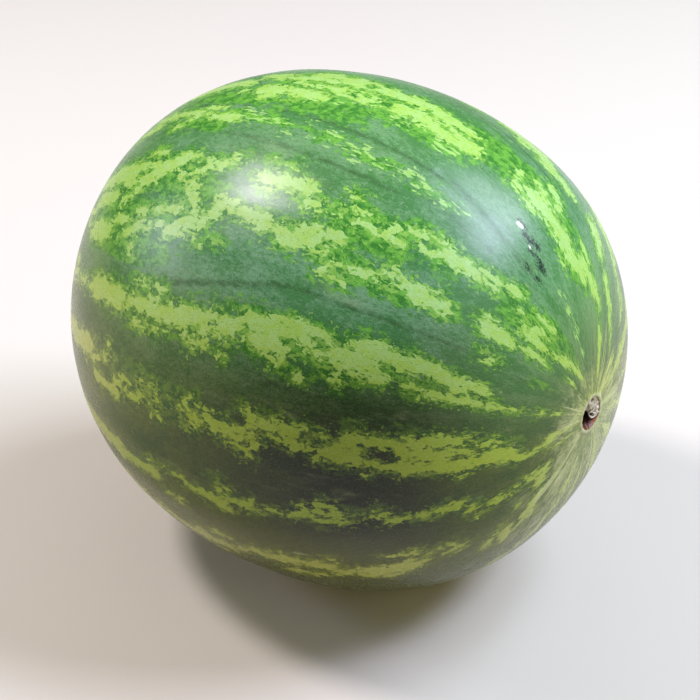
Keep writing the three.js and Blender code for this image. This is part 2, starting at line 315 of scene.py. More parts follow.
@dataclass(frozen=True)
class Ramp:
    """A share that rises from 0 at low to its top at high, and high may be under low.

    Attributes:
        low: where it starts.
        high: where it ends.
        top: the share that it rises to.
    """

    low: float
    high: float
    top: float = 1.0

    def at(self, value: np.ndarray) -> np.ndarray:
        """Returns the share at each value."""
        return self.top * smoothstep(self.low, self.high, value)


@dataclass(frozen=True)
class StalkZone:
    """A zone round the stalk scar that fades outwards, and reaches further out at some turns.

    Attributes:
        reach: how far it goes everywhere, in degrees of polar angle.
        sectors: the turn of each sector that goes further, half its width, and how much further it goes.
    """

    reach: float
    sectors: tuple[Triple, ...]

    def at(self, polar: np.ndarray, turn: np.ndarray) -> np.ndarray:
        """Returns the zone's share at each place, from 1 at the scar towards 0."""
        further = sum(extra * bell(turn_apart(turn, middle), width) for middle, width, extra in self.sectors)
        return bell(polar, self.reach + further)


# ---- The strokes, set and random ---------------------------------------------------------------------


@dataclass(frozen=True)
class StripeHabit:
    """How a stripe that is drawn at random wanders and breaks up. Spans are in degrees.

    Attributes:
        start: how far beside the stripe's turn its drift starts.
        drift: how far each blotch can lie beside the one before.
        widest: how far it gets from the stripe's turn at most.
        length: a blotch's length.
        width: half a blotch's width.
        lean: how far a blotch's end can lie beside its start.
        gap: the way from one blotch to the next, below 0 where they overlap.
        islands: how many islands lie beside a blotch.
        island_gap: the way from a blotch's edge to an island's middle.
        island_length: an island's length.
        island_lean: how far an island's end can lie beside its start.
        island_width: half an island's width.
    """

    start: Span = (-1.5, 1.5)
    drift: Span = (-2.2, 2.2)
    widest: float = 3.2
    length: Span = (4.0, 12.0)
    width: Span = (0.9, 2.9)
    lean: Span = (-1.3, 1.3)
    gap: Span = (-0.5, 3.8)
    islands: tuple[int, int] = (1, 4)
    island_gap: Span = (0.8, 3.4)
    island_length: Span = (0.4, 4.0)
    island_lean: Span = (-0.8, 0.8)
    island_width: Span = (0.4, 0.9)


@dataclass(frozen=True)
class WildStripe:
    """A stripe that is drawn at random, on the parts of the rind that have no strokes of their own.

    Attributes:
        turn: where the stripe runs, in degrees round the fruit.
        first: the polar angle where it starts.
        last: the polar angle where it ends.
        fullness: how wide its blotches are, 1 being usual.
        habit: how it wanders and breaks up.
    """

    turn: float
    first: float
    last: float = 168.0
    fullness: float = 1.0
    habit: StripeHabit = StripeHabit()

    def strokes(self, draw: random.Random) -> list[Stroke]:
        """Draws the stripe's blotches and the islands beside them.

        Args:
            draw: the seeded source of every random number.

        Returns:
            The strokes, in the order they are drawn.
        """
        habit = self.habit
        strokes: list[Stroke] = []
        polar = self.first
        drift = draw.uniform(*habit.start)
        while polar < self.last:
            length = draw.uniform(*habit.length)
            width = self.fullness * draw.uniform(*habit.width)
            drift = max(-habit.widest, min(habit.widest, drift + draw.uniform(*habit.drift)))
            turn = self.turn + drift
            strokes.append((polar, turn, polar + length, turn + draw.uniform(*habit.lean), width))
            for _ in range(draw.randint(*habit.islands)):
                start = polar + draw.uniform(0.0, length)
                side = turn + draw.choice((-1.0, 1.0)) * (width + draw.uniform(*habit.island_gap))
                end = start + draw.uniform(*habit.island_length)
                end_side = side + draw.uniform(*habit.island_lean)
                strokes.append((start, side, end, end_side, draw.uniform(*habit.island_width)))
            polar += length + draw.uniform(*habit.gap)
        return strokes


@dataclass(frozen=True)
class Markings:
    """All strokes on the rind, those that are set and those that are drawn at random.

    Attributes:
        seed: starts the random draws.
        wild: the stripes drawn at random, some of them going on where a set stripe ends.
        vein_turns: where a thin dark line runs in the dark bands of the far side.
        vein_start: the polar angle where such a line starts.
        vein_bow: how far it bows aside.
        vein_middle: the polar angle where it bows.
        vein_end: the polar angle where it ends.
        vein_width: half its width.
        green_rim: how far the middle green goes out round every pale blotch, in degrees.
        green_haze: how far the stalk's haze holds it back.
        limit: how far from a stroke its reach is still told apart, in degrees.
    """

    seed: int = 11
    wild: tuple[WildStripe, ...] = (
        WildStripe(60, 56),
        WildStripe(84, 130),
        WildStripe(105, 138, fullness=0.6),
        WildStripe(122, 142, 166),
        WildStripe(137, 136, 164, 0.8),
        WildStripe(157, 135),
        WildStripe(174, 137),
        WildStripe(195, 132),
        WildStripe(212, 82, fullness=0.8),
        WildStripe(230, 84, fullness=0.7),
        WildStripe(251, 10),
        WildStripe(272, 12, fullness=0.8),
        WildStripe(294, 10),
        WildStripe(316, 11, fullness=1.2),
        WildStripe(338, 9),
        WildStripe(359, 12, fullness=0.8),
        WildStripe(20, 10, fullness=1.1),
        WildStripe(40, 30),
    )
    vein_turns: tuple[float, ...] = (10.0, 30.0, 50.0, 262.0, 284.0, 305.0, 327.0, 349.0)
    vein_start: Span = (30.0, 50.0)
    vein_bow: Span = (-3.0, 3.0)
    vein_middle: Span = (75.0, 95.0)
    vein_end: Span = (120.0, 145.0)
    vein_width: float = 0.3
    green_rim: float = 1.6
    green_haze: float = 6.0
    limit: float = 8.0

    def pale(self) -> list[Stroke]:
        """Gathers the pale strokes, set and random.

        Returns:
            All of them.
        """
        draw = random.Random(self.seed)
        strokes = [stroke for stripe in PALE_STROKES.values() for stroke in stripe]
        for stripe in self.wild:
            strokes.extend(stripe.strokes(draw))
        return strokes

    def veins(self) -> list[Stroke]:
        """Gathers the thin dark lines, set and random.

        Returns:
            All of them.
        """
        draw = random.Random(self.seed + 1)
        strokes = list(VEIN_STROKES)
        for turn in self.vein_turns:
            start = draw.uniform(*self.vein_start)
            bowed = turn + draw.uniform(*self.vein_bow)
            middle = draw.uniform(*self.vein_middle)
            end = draw.uniform(*self.vein_end)
            strokes.append((start, turn, middle, bowed, self.vein_width))
            strokes.append((middle, bowed, end, turn, self.vein_width))
        return strokes

    def reach(self, polar: np.ndarray, turn: np.ndarray, strokes: list[Stroke]) -> np.ndarray:
        """Measures how deep each place lies in the nearest stroke.

        Args:
            polar: the places' polar angles, in degrees.
            turn: the places' turns, in degrees.
            strokes: the strokes to measure to.

        Returns:
            Degrees, above 0 inside a stroke and below 0 outside all of them.
        """
        best = np.full(polar.shape, -self.limit)
        for start, start_turn, end, end_turn, width in strokes:
            side = turn_apart(turn, start_turn)
            along = end - start
            across = end_turn - start_turn
            square = max(along**2 + across**2, TINY)
            share = np.clip(((polar - start) * along + side * across) / square, 0.0, 1.0)
            distance = np.hypot(polar - start - share * along, side - share * across)
            best = np.maximum(best, width - distance)
        return best

    def marks(self, polar: np.ndarray, turn: np.ndarray, haze: np.ndarray) -> dict[Mark, np.ndarray]:
        """Measures how deep each place lies in each kind of stroke.

        Args:
            polar: the places' polar angles, in degrees.
            turn: the places' turns, in degrees.
            haze: how far they lie in the stalk's haze, from 0 to 1.

        Returns:
            The reaches, by their marks.
        """
        kinds = {
            Mark.PALE: self.pale(),
            Mark.FLECK: FLECK_STROKES,
            Mark.GREEN: GREEN_STROKES,
            Mark.VEIN: self.veins(),
            Mark.CHIP: CHIP_STROKES,
            Mark.SCUFF: SCUFF_STROKES,
        }
        marks = {mark: self.reach(polar, turn, strokes) for mark, strokes in kinds.items()}
        marks[Mark.PALE] = np.minimum(marks[Mark.PALE], -self.reach(polar, turn, DARK_ISLANDS))
        green = np.maximum(marks[Mark.PALE] + self.green_rim, marks[Mark.GREEN])
        marks[Mark.GREEN] = green - self.green_haze * haze
        return marks


# ---- Mesh helpers ------------------------------------------------------------------------------------


def deselect_all() -> None:
    """Leaves every object deselected and in object mode."""
    if bpy.context.object is not None and bpy.context.object.mode != "OBJECT":
        bpy.ops.object.mode_set(mode="OBJECT")
    bpy.ops.object.select_all(action="DESELECT")


def select_only(piece: Piece) -> None:
    """Selects one object and makes it the active one.

    Args:
        piece: the object.
    """
    deselect_all()
    piece.select_set(True)
    bpy.context.view_layer.objects.active = piece


def read_points(piece: Piece) -> np.ndarray:
    """Reads where a piece's vertices are.

    Args:
        piece: the object.

    Returns:
        One row for each vertex.
    """
    points = np.empty(len(piece.data.vertices) * 3)
    piece.data.vertices.foreach_get("co", points)
    return points.reshape(-1, 3)


def write_points(piece: Piece, points: np.ndarray) -> None:
    """Moves the piece's vertices to the given rows."""
    piece.data.vertices.foreach_set("co", points.ravel())
    piece.data.update()


def write_attribute(piece: Piece, mark: Mark, values: np.ndarray) -> None:
    """Keeps one value or one vector for each vertex, under the mark's name.

    Args:
        piece: the object whose mesh takes them.
        mark: names the attribute.
        values: one number or one row of three for each vertex.
    """
    kind, key = ("FLOAT", "value") if values.ndim == 1 else ("FLOAT_VECTOR", "vector")
    attribute = piece.data.attributes.new(mark.value, kind, "POINT")
    attribute.data.foreach_set(key, values.astype(np.float32).ravel())


def unit_rows(points: np.ndarray) -> np.ndarray:
    """Returns each row scaled to a length of 1."""
    return points / np.linalg.norm(points, axis=1)[:, None]


def face_middles(piece: Piece) -> np.ndarray:
    """Reads where the middles of a piece's faces are.

    Args:
        piece: the object.

    Returns:
        One row for each face.
    """
    middles = np.empty(len(piece.data.polygons) * 3)
    piece.data.polygons.foreach_get("center", middles)
    return middles.reshape(-1, 3)


def subdivide_faces(piece: Piece, chosen: np.ndarray) -> None:
    """Cuts each chosen face into four.

    Args:
        piece: the object to work on.
        chosen: one truth value for each face.
    """
    select_only(piece)
    mesh = piece.data
    bpy.context.tool_settings.mesh_select_mode = (False, False, True)
    mesh.vertices.foreach_set("select", np.zeros(len(mesh.vertices), dtype=bool))
    mesh.edges.foreach_set("select", np.zeros(len(mesh.edges), dtype=bool))
    mesh.polygons.foreach_set("select", chosen)
    bpy.ops.object.mode_set(mode="EDIT")
    bpy.ops.mesh.subdivide(number_cuts=1)
    bpy.ops.object.mode_set(mode="OBJECT")


def fine_cube(name: str, first_cuts: int, second_cuts: int) -> Piece:
    """Adds a cube from -1 to 1, cut into even squares, as the start of a closed skin.

    Args:
        name: the new object's name.
        first_cuts: cuts of each edge the first time.
        second_cuts: cuts of each new edge the second time.

    Returns:
        The new object.
    """
    deselect_all()
    bpy.ops.mesh.primitive_cube_add(size=2.0, location=(0.0, 0.0, 0.0))
    piece = bpy.context.object
    piece.name = name
    piece.data.name = name
    bpy.ops.object.mode_set(mode="EDIT")
    bpy.ops.mesh.select_all(action="SELECT")
    bpy.ops.mesh.subdivide(number_cuts=first_cuts)
    bpy.ops.mesh.subdivide(number_cuts=second_cuts)
    bpy.ops.object.mode_set(mode="OBJECT")
    return piece


def shade_smooth(piece: Piece) -> None:
    """Shades all of a piece's faces smooth."""
    select_only(piece)
    bpy.ops.object.shade_smooth()


def place_in_scene(name: str, data: bpy.types.ID) -> Piece:
    """Adds an object that shows a curve, a light or a camera.

    Args:
        name: the object's name.
        data: what it shows.

    Returns:
        The object.
    """
    piece = bpy.data.objects.new(name, data)
    bpy.context.scene.collection.objects.link(piece)
    return piece


# ---- Material helpers --------------------------------------------------------------------------------


def linear(code: str) -> Colour:
    """Turns a screen colour into the linear numbers that a shader takes, by the sRGB curve.

    Args:
        code: six hexadecimal digits, red first.

    Returns:
        Red, green, blue and an alpha of 1.
    """
    parts = [int(code[i : i + 2], 16) / 255.0 for i in (0, 2, 4)]
    red, green, blue = [((p + 0.055) / 1.055) ** 2.4 if p > 0.04045 else p / 12.92 for p in parts]
    return (red, green, blue, 1.0)


@dataclass(frozen=True)
class Reading:
    """Where a noise is read.

    Attributes:
        place: the attribute that holds the place, or None for the place on the object, in metres.
        stretch: what its parts are multiplied by first, or None.
    """

    place: Mark | None = None
    stretch: Triple | None = None


ON_OBJECT = Reading()
GRAIN = Reading(Mark.GRAIN)
ROUNDER = Reading(Mark.GRAIN, (0.85, 1.0, 1.0))  # features a little drawn out along the fruit
ALONG = Reading(Mark.GRAIN, (0.62, 1.0, 1.0))  # features drawn out further


@dataclass(frozen=True)
class Pattern:
    """One fractal noise.

    Attributes:
        reading: where it is read.
        scale: how many features fit in one unit.
        detail: how many finer layers it has.
        roughness: how strong each finer layer is.
        distortion: how far the noise is swirled.
    """

    reading: Reading
    scale: float
    detail: float
    roughness: float
    distortion: float = 0.0


class Graph:
    """Adds shader nodes to one new material and joins them."""

    def __init__(self, name: str) -> None:
        """Starts an empty material.

        Args:
            name: the material's name.
        """
        self.material = bpy.data.materials.new(name)
        self.material.use_nodes = True
        self.tree = self.material.node_tree
        self.tree.nodes.clear()
        self.made: dict[Reading | Pattern, Socket] = {}

    def add(self, kind: str, inputs: dict | None = None, **settings: object) -> bpy.types.Node:
        """Adds one node.

        Args:
            kind: the node's type.
            inputs: what goes into its sockets, by name or number: a socket to link, or a value.
            **settings: the node's own properties.

        Returns:
            The node.
        """
        node = self.tree.nodes.new(kind)
        for key, value in settings.items():
            setattr(node, key, value)
        for key, value in (inputs or {}).items():
            if isinstance(value, Socket):
                self.tree.links.new(value, node.inputs[key])
            else:
                node.inputs[key].default_value = value
        return node

    def attribute(self, mark: Mark, output: str = "Fac") -> Socket:
        """Returns a mesh attribute's socket, a number unless the output is Vector."""
        return self.add("ShaderNodeAttribute", attribute_name=mark.value).outputs[output]

    def vector(self, reading: Reading) -> Socket:
        """Adds the place that a reading gives, once for all its noises.

        Args:
            reading: where they are read.

        Returns:
            The place.
        """
        if reading not in self.made:
            if reading.place is None:
                vector = self.add("ShaderNodeTexCoord").outputs["Object"]
            else:
                vector = self.attribute(reading.place, "Vector")
            if reading.stretch is not None:
                inputs = {"Vector": vector, "Scale": reading.stretch}
                vector = self.add("ShaderNodeMapping", inputs).outputs[0]
            self.made[reading] = vector
        return self.made[reading]

    def read(self, source: Mark | Pattern) -> Socket:
        """Adds an attribute or a noise, each noise once.

        Args:
            source: the attribute or the noise.

        Returns:
            Its value, which goes about 0.5 for a noise.
        """
        if isinstance(source, Mark):
            return self.attribute(source)
        if source not in self.made:
            inputs = {"Vector": self.vector(source.reading), "Scale": source.scale, "Detail": source.detail}
            inputs |= {"Roughness": source.roughness, "Distortion": source.distortion}
            self.made[source] = self.add("ShaderNodeTexNoise", inputs).outputs[0]
        return self.made[source]

    def math(self, operation: str, first: object, second: object = 0.0) -> Socket:
        """Returns one sum of two values, each a socket or a number."""
        return self.add("ShaderNodeMath", {0: first, 1: second}, operation=operation).outputs[0]

    def swing(self, value: object, source: Mark | Pattern, amount: float) -> Socket:
        """Moves a value by a noise, or by an attribute about 0.5.

        Args:
            value: a socket or a number.
            source: the noise or the attribute.
            amount: how far the source at 0 or 1 moves the value.

        Returns:
            The moved value.
        """
        centred = self.math("SUBTRACT", self.read(source), NOISE_MIDDLE)
        return self.math("ADD", self.math("MULTIPLY", centred, 2.0 * amount), value)

    def ramp(self, value: Socket, ramp: Ramp) -> Socket:
        """Returns the ramp's share at the value."""
        inputs = {"Value": value, "From Min": ramp.low, "From Max": ramp.high, "To Max": ramp.top}
        return self.add("ShaderNodeMapRange", inputs, interpolation_type="SMOOTHSTEP").outputs[0]

    def mix(self, share: object, first: object, second: object, blend: str = "MIX") -> Socket:
        """Blends two colours.

        Args:
            share: how much of the second, a socket or a number.
            first: the first colour, a socket or four numbers.
            second: the second colour, a socket or four numbers.
            blend: how they blend.

        Returns:
            The blended colour.
        """
        inputs = {0: share, 6: first, 7: second}  # inputs 6 and 7 take colours, and output 2 gives one
        return self.add("ShaderNodeMix", inputs, data_type="RGBA", blend_type=blend).outputs[2]

    def finish(self, surface: dict, height: Socket | None = None, depth: float = 0.0) -> bpy.types.Material:
        """Ends the material in one shader, with bump where a height is given.

        Args:
            surface: what goes into the shader's sockets, by name.
            height: the bump's height, from 0 to 1, or None for no bump.
            depth: the height's size, in metres.

        Returns:
            The finished material.
        """
        shader = self.add("ShaderNodeBsdfPrincipled", surface)
        if height is not None:
            bump = self.add("ShaderNodeBump", {"Height": height, "Distance": depth})
            self.tree.links.new(bump.outputs[0], shader.inputs["Normal"])
        output = self.add("ShaderNodeOutputMaterial")
        self.tree.links.new(shader.outputs[0], output.inputs["Surface"])
        return self.material


@dataclass(frozen=True)
class Share:
    """A share from 0 to 1 that an attribute or a noise gives.

    Attributes:
        source: the attribute or the noise.
        ramp: how its value becomes a share, or None where it is one.
        swings: the noises that move the value first, and how far each does.
    """

    source: Mark | Pattern
    ramp: Ramp | None = None
    swings: tuple[tuple[Mark | Pattern, float], ...] = ()

    def of(self, graph: Graph) -> Socket:
        """Adds the share to a material.

        Args:
            graph: the material.

        Returns:
            The share.
        """
        value = graph.read(self.source)
        for source, amount in self.swings:
            value = graph.swing(value, source, amount)
        return value if self.ramp is None else graph.ramp(value, self.ramp)


# ---- The fruit's form --------------------------------------------------------------------------------


@dataclass(frozen=True)
class FruitForm:
    """The fruit's size and shape, as the solid has it, in metres.

    Attributes:
        half_length: from the middle to either end.
        middle_radius: half the width at the middle.
        taper: how much the stalk half is fuller than the blossom half.
        barrel: fullness of both shoulders, over an ellipse.
        shoulder: extra fullness of the stalk end's shoulder.
        height_factor: height over width.
        three_sided: how much fuller the crown and flatter the belly is.
        bend_y: how far both ends stand off the middle's axis along Y.
        bend_z: the same along Z.
        rest_depth: how deep the belly is flattened where it lies.
        floor_radius: of the stalk scar's hollow, at its floor.
        mouth_radius: of the hollow, at its mouth.
        hollow_depth: from the mouth to the floor.
        lip_radius: of the raised ring round the hollow.
        lip_width: half the ring's width.
        lip_height: how high the ring stands.
        dimple_radius: of the dimple at the blossom end.
        dimple_depth: how deep the dimple is.
        cork_inner: radius of the flat of the corky disc in the dimple.
        cork_outer: radius of the disc's foot.
        cork_height: how high the disc stands.
        survey_steps: places along and round the fruit at which its box is measured.
    """

    half_length: float = 0.135
    middle_radius: float = 0.1167
    taper: float = 0.039
    barrel: float = 0.112
    shoulder: float = 0.032
    height_factor: float = 1.029
    three_sided: float = 0.011
    bend_y: float = 0.0046
    bend_z: float = -0.001
    rest_depth: float = 0.0012
    floor_radius: float = 0.0044
    mouth_radius: float = 0.0078
    hollow_depth: float = 0.0062
    lip_radius: float = 0.0087
    lip_width: float = 0.0013
    lip_height: float = 0.0008
    dimple_radius: float = 0.013
    dimple_depth: float = 0.0016
    cork_inner: float = 0.0028
    cork_outer: float = 0.0044
    cork_height: float = 0.0007
    survey_steps: int = 361

    def radius(self, polar: np.ndarray) -> np.ndarray:
        """Works out the plain radius.

        Args:
            polar: polar angles, in radians.

        Returns:
            The radius at each.
        """
        c = np.cos(polar)
        fullness = 1.0 + self.taper * c + self.barrel * c**2 + self.shoulder * c**3
        return self.middle_radius * np.sin(polar) * fullness

    def open_share(self, radius: np.ndarray) -> np.ndarray:
        """Returns how far each distance from the scar's middle is into the hollow, from 0 to 1."""
        return 1.0 - smoothstep(self.floor_radius, self.mouth_radius, radius)

    def lip_share(self, radius: np.ndarray) -> np.ndarray:
        """Returns how high each distance from the scar's middle is up the lip, from 0 to 1."""
        return bell(radius - self.lip_radius, self.lip_width)

    def cork_share(self, radius: np.ndarray) -> np.ndarray:
        """Returns how far each distance from the blossom scar's middle is on its disc, from 0 to 1."""
        return 1.0 - smoothstep(self.cork_inner, self.cork_outer, radius)

    def relief(self, polar: np.ndarray, radius: np.ndarray) -> np.ndarray:
        """Returns how far along +X the scars move each point.

        Args:
            polar: the points' polar angles, in radians.
            radius: their distances from the axis.

        Returns:
            One distance for each point.
        """
        stalk = self.lip_height * self.lip_share(radius) - self.hollow_depth * self.open_share(radius)
        dimple = -self.dimple_depth * bell(radius, self.dimple_radius)
        blossom = dimple + self.cork_height * self.cork_share(radius)
        return np.where(polar < math.pi / 2, stalk, -blossom)

    def grow_uneven(self, points: np.ndarray) -> np.ndarray:
        """Gives round, straight points the fruit's height, three-sided section and bent axis.

        Args:
            points: one row each.

        Returns:
            The moved points.
        """
        x, y, z = points.T
        along = np.clip(x / self.half_length, -1.0, 1.0) ** 2
        section = 1.0 - self.three_sided * np.sin(3.0 * np.arctan2(z, y))
        new_y = y * section + self.bend_y * along
        new_z = z * section * self.height_factor + self.bend_z * along
        return np.stack([x, new_y, new_z], axis=1)

    def offset(self) -> Vector:
        """Works out where the formula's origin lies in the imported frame.

        Returns:
            The place of the middle of the fruit's axis.
        """
        polar, turn = np.meshgrid(
            np.linspace(0.0, math.pi, self.survey_steps), np.linspace(0.0, math.tau, self.survey_steps)
        )
        radius = self.radius(polar)
        x = self.half_length * np.cos(polar) + self.relief(polar, radius)
        rows = np.stack([x, radius * np.cos(turn), radius * np.sin(turn)], axis=-1).reshape(-1, 3)
        points = self.grow_uneven(rows)
        low, high = points.min(axis=0), points.max(axis=0)
        box_low, box_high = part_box("fruit")
        middle = (box_low + box_high) / 2.0
        place = [middle[axis] - (low[axis] + high[axis]) / 2.0 for axis in (0, 1)]
        return Vector((*place, -(low[2] + self.rest_depth)))


# Painted shade on the low side, painted warm rim light and a painted warm cast lie among these zones.
@dataclass(frozen=True)
class Zones:
    """Where the rind's tone changes over the fruit.

    Polar angles and turns are in degrees, and heights are over the floor, in metres.

    Attributes:
        low: where the painted shade, with a brown cast, comes in on the low side, by height.
        stalk_lift: how much higher a place counts as near the stalk, by polar angle.
        shade_middle: the polar angle where the painted shade on the low side is darkest.
        shade_width: how far the darkest painted shade goes to either side.
        shade_at_stalk: how much of that shade is left at the stalk.
        shade_rise: how it comes back away from the stalk, by polar angle.
        under: the olive underside, by height.
        blossom_rim_light: painted warm rim light, lighter and olive, on the blossom half's low side, by
            polar angle.
        blossom_low: the same, by height.
        haze: the grey green round the stalk scar.
        rays: the pale rays round the stalk scar.
        yellow_round: how strong the painted warm cast is all round the stalk end.
        yellow_turn: the turn where the painted warm cast is stronger, half the width of that side, and how
            much stronger.
        yellow_stalk: how the painted warm cast fades away from the stalk, by polar angle.
        yellow_crown: how strong the painted warm cast on the crown is, by height.
        yellow_shoulder: how strong the painted warm cast on the blossom end's shoulder is, by polar angle.
        yellow_high: the same, by height.
        ground_middle: the polar angle and turn of the ground spot's middle.
        ground_squeeze: what distances along and across the fruit count for in the spot.
        ground_radius: the spot's radius.
        ground_limit: how far outside the spot its distance is still told apart.
    """

    low: Ramp = Ramp(0.195, 0.122)
    stalk_lift: Ramp = Ramp(48.0, 18.0, 0.012)
    shade_middle: float = 55.0
    shade_width: float = 36.0
    shade_at_stalk: float = 0.35
    shade_rise: Ramp = Ramp(16.0, 46.0, 0.65)
    under: Ramp = Ramp(0.098, 0.06, 0.5)
    blossom_rim_light: Ramp = Ramp(100.0, 122.0, 0.42)
    blossom_low: Ramp = Ramp(0.190, 0.11)
    haze: StalkZone = StalkZone(
        8.0, ((355.0, 35.0, 9.0), (245.0, 24.0, 17.0), (300.0, 45.0, 13.0), (200.0, 40.0, 4.0))
    )
    rays: StalkZone = StalkZone(9.0, ((35.0, 38.0, 24.0), (240.0, 30.0, 20.0), (310.0, 45.0, 14.0)))
    yellow_round: float = 0.4
    yellow_turn: Triple = (60.0, 70.0, 0.6)
    yellow_stalk: Ramp = Ramp(50.0, 5.0)
    yellow_crown: Ramp = Ramp(0.195, 0.232, 0.45)
    yellow_shoulder: Ramp = Ramp(104.0, 122.0, 0.55)
    yellow_high: Ramp = Ramp(0.13, 0.17)
    ground_middle: Span = (88.0, 268.0)
    ground_squeeze: Span = (0.75, 0.9)
    ground_radius: float = 22.0
    ground_limit: float = 30.0

    def marks(self, polar: np.ndarray, turn: np.ndarray, height: np.ndarray) -> dict[Mark, np.ndarray]:
        """Works out the rind's broad changes of tone.

        Args:
            polar: the places' polar angles.
            turn: their turns.
            height: their heights.

        Returns:
            The shares, and the reach into the ground spot, by their marks.
        """
        # Painted shade: the low side is browner and darker, darkest round the shade's middle polar angle.
        low = self.low.at(height + self.stalk_lift.at(polar))
        shade = bell(polar - self.shade_middle, self.shade_width)
        shade *= self.shade_at_stalk + self.shade_rise.at(polar)
        # Painted warm rim light on the blossom end's low side, joined with the olive underside below.
        blossom_low = self.blossom_rim_light.at(polar) * self.blossom_low.at(height)
        # The painted warm cast that takes back blue lamp light at the stalk end, on the crown and on the
        # blossom end's shoulder.
        middle, width, extra = self.yellow_turn
        yellow_side = self.yellow_round + extra * bell(turn_apart(turn, middle), width)
        yellow_end = self.yellow_shoulder.at(polar) * self.yellow_high.at(height)
        yellow_high = np.maximum(self.yellow_crown.at(height), yellow_end)
        along = (polar - self.ground_middle[0]) * self.ground_squeeze[0]
        across = (turn - self.ground_middle[1]) * self.ground_squeeze[1]
        return {
            Mark.LOW_SHADE: low,
            Mark.SHADE: low * shade,
            Mark.UNDER_AND_RIM_LIGHT: np.maximum(self.under.at(height), blossom_low),
            Mark.HAZE: self.haze.at(polar, turn),
            Mark.RAY: self.rays.at(polar, turn),
            Mark.WARM_CAST: np.maximum(yellow_side * self.yellow_stalk.at(polar), yellow_high),
            Mark.GROUND: np.maximum(self.ground_radius - np.hypot(along, across), -self.ground_limit),
        }


# ---- The rind's finish, layer by layer ---------------------------------------------------------------


# Painted shade on the low side, with a brown cast, and a lighter olive beneath.
@dataclass(frozen=True)
class PaintedLowShadeAndOlive:
    """How a colour of the rind changes on the low side.

    Attributes:
        tint: what it is multiplied by on the low side: painted shade with a brown cast.
        depth: how strong the darker painted shade is where the low side is darkest, from 0 to 1.
        olive_and_rim_light: the lighter olive it fades to beneath, and painted warm rim light at the blossom
            end's low side.
        painted_shade_colour: the colour of the darkest painted shade.
    """

    tint: Colour
    depth: float
    olive_and_rim_light: Colour
    painted_shade_colour: Colour = linear("060a02")

    def over(self, graph: Graph, colour: Socket | Colour) -> Socket:
        """Turns a colour browner and darker on the low side, and olive beneath.

        Args:
            graph: the material.
            colour: the colour at the top of the fruit.

        Returns:
            The colour at any height.
        """
        # Painted shade with a brown cast on the low side, then the darkest painted shade, then the olive
        # beneath and the painted warm rim light.
        lowered = graph.mix(graph.attribute(Mark.LOW_SHADE), colour, self.tint, "MULTIPLY")
        share = graph.math("MULTIPLY", graph.attribute(Mark.SHADE), self.depth)
        return graph.mix(graph.attribute(Mark.UNDER_AND_RIM_LIGHT), graph.mix(share, lowered, self.painted_shade_colour), self.olive_and_rim_light)


@dataclass(frozen=True)
class Layer:
    """One layer of the rind's colour.

    Attributes:
        tones: its colour, or the two that its mottling blends.
        covers: the shares that it shows by, multiplied. The lowest layer has none.
        mottle: how far from the first tone to the second it is.
        low: its painted shade, with a brown cast, on the low side.
        veil: the colour it fades to in the stalk's haze.
        veil_share: how far it fades.
        blend: how it is laid over the colour beneath.
    """

    tones: tuple[Colour, ...]
    covers: tuple[Share, ...] = ()
    mottle: Share | None = None
    low: PaintedLowShadeAndOlive | None = None
    veil: Colour | None = None
    veil_share: float = 0.7
    blend: str = "MIX"

    def over(self, graph: Graph, beneath: Socket | None) -> Socket:
        """Lays this layer over the colour beneath.

        Args:
            graph: the material.
            beneath: the colour beneath, or None for the lowest layer.

        Returns:
            The colour with this layer.
        """
        own = self.tones[0] if self.mottle is None else graph.mix(self.mottle.of(graph), *self.tones)
        if self.low is not None:
            own = self.low.over(graph, own)
        if self.veil is not None:
            veiled = graph.math("MULTIPLY", graph.attribute(Mark.HAZE), self.veil_share)
            own = graph.mix(veiled, own, self.veil)
        if beneath is None:
            return own
        share = self.covers[0].of(graph)
        for cover in self.covers[1:]:
            share = graph.math("MULTIPLY", share, cover.of(graph))
        return graph.mix(share, beneath, own, self.blend)


CLOUDS = Pattern(ALONG, 0.12, 3.0, 0.6)
THREADS = Pattern(ALONG, 0.45, 4.0, 0.7, 0.6)
LACE = Pattern(ROUNDER, 0.75, 1.5, 0.5, 0.8)
FRINGE = Pattern(ROUNDER, 2.0, 1.0, 0.5, 0.4)
CELLS = Pattern(ROUNDER, 3.6, 3.0, 0.7)
BUNDLES = Pattern(Reading(Mark.FAN, (0.03, 0.16, 0.16)), 1.0, 3.0, 0.6, 0.3)
STRANDS = Pattern(Reading(Mark.FAN, (0.04, 0.7, 0.7)), 1.0, 2.0, 0.5)
PALE_EDGE = ((Pattern(ALONG, 0.4, 3.0, 0.6, 0.5), 3.0), (LACE, 2.6), (FRINGE, 0.4))

VEIN_TONE = linear("33592f")
EDGE_TONE = linear("84b850")
EDGE_LOW_SHADE = PaintedLowShadeAndOlive((0.84, 0.60, 0.20, 1.0), 0.35, linear("8f9040"))
RAY_TONE = linear("c4cc9a")

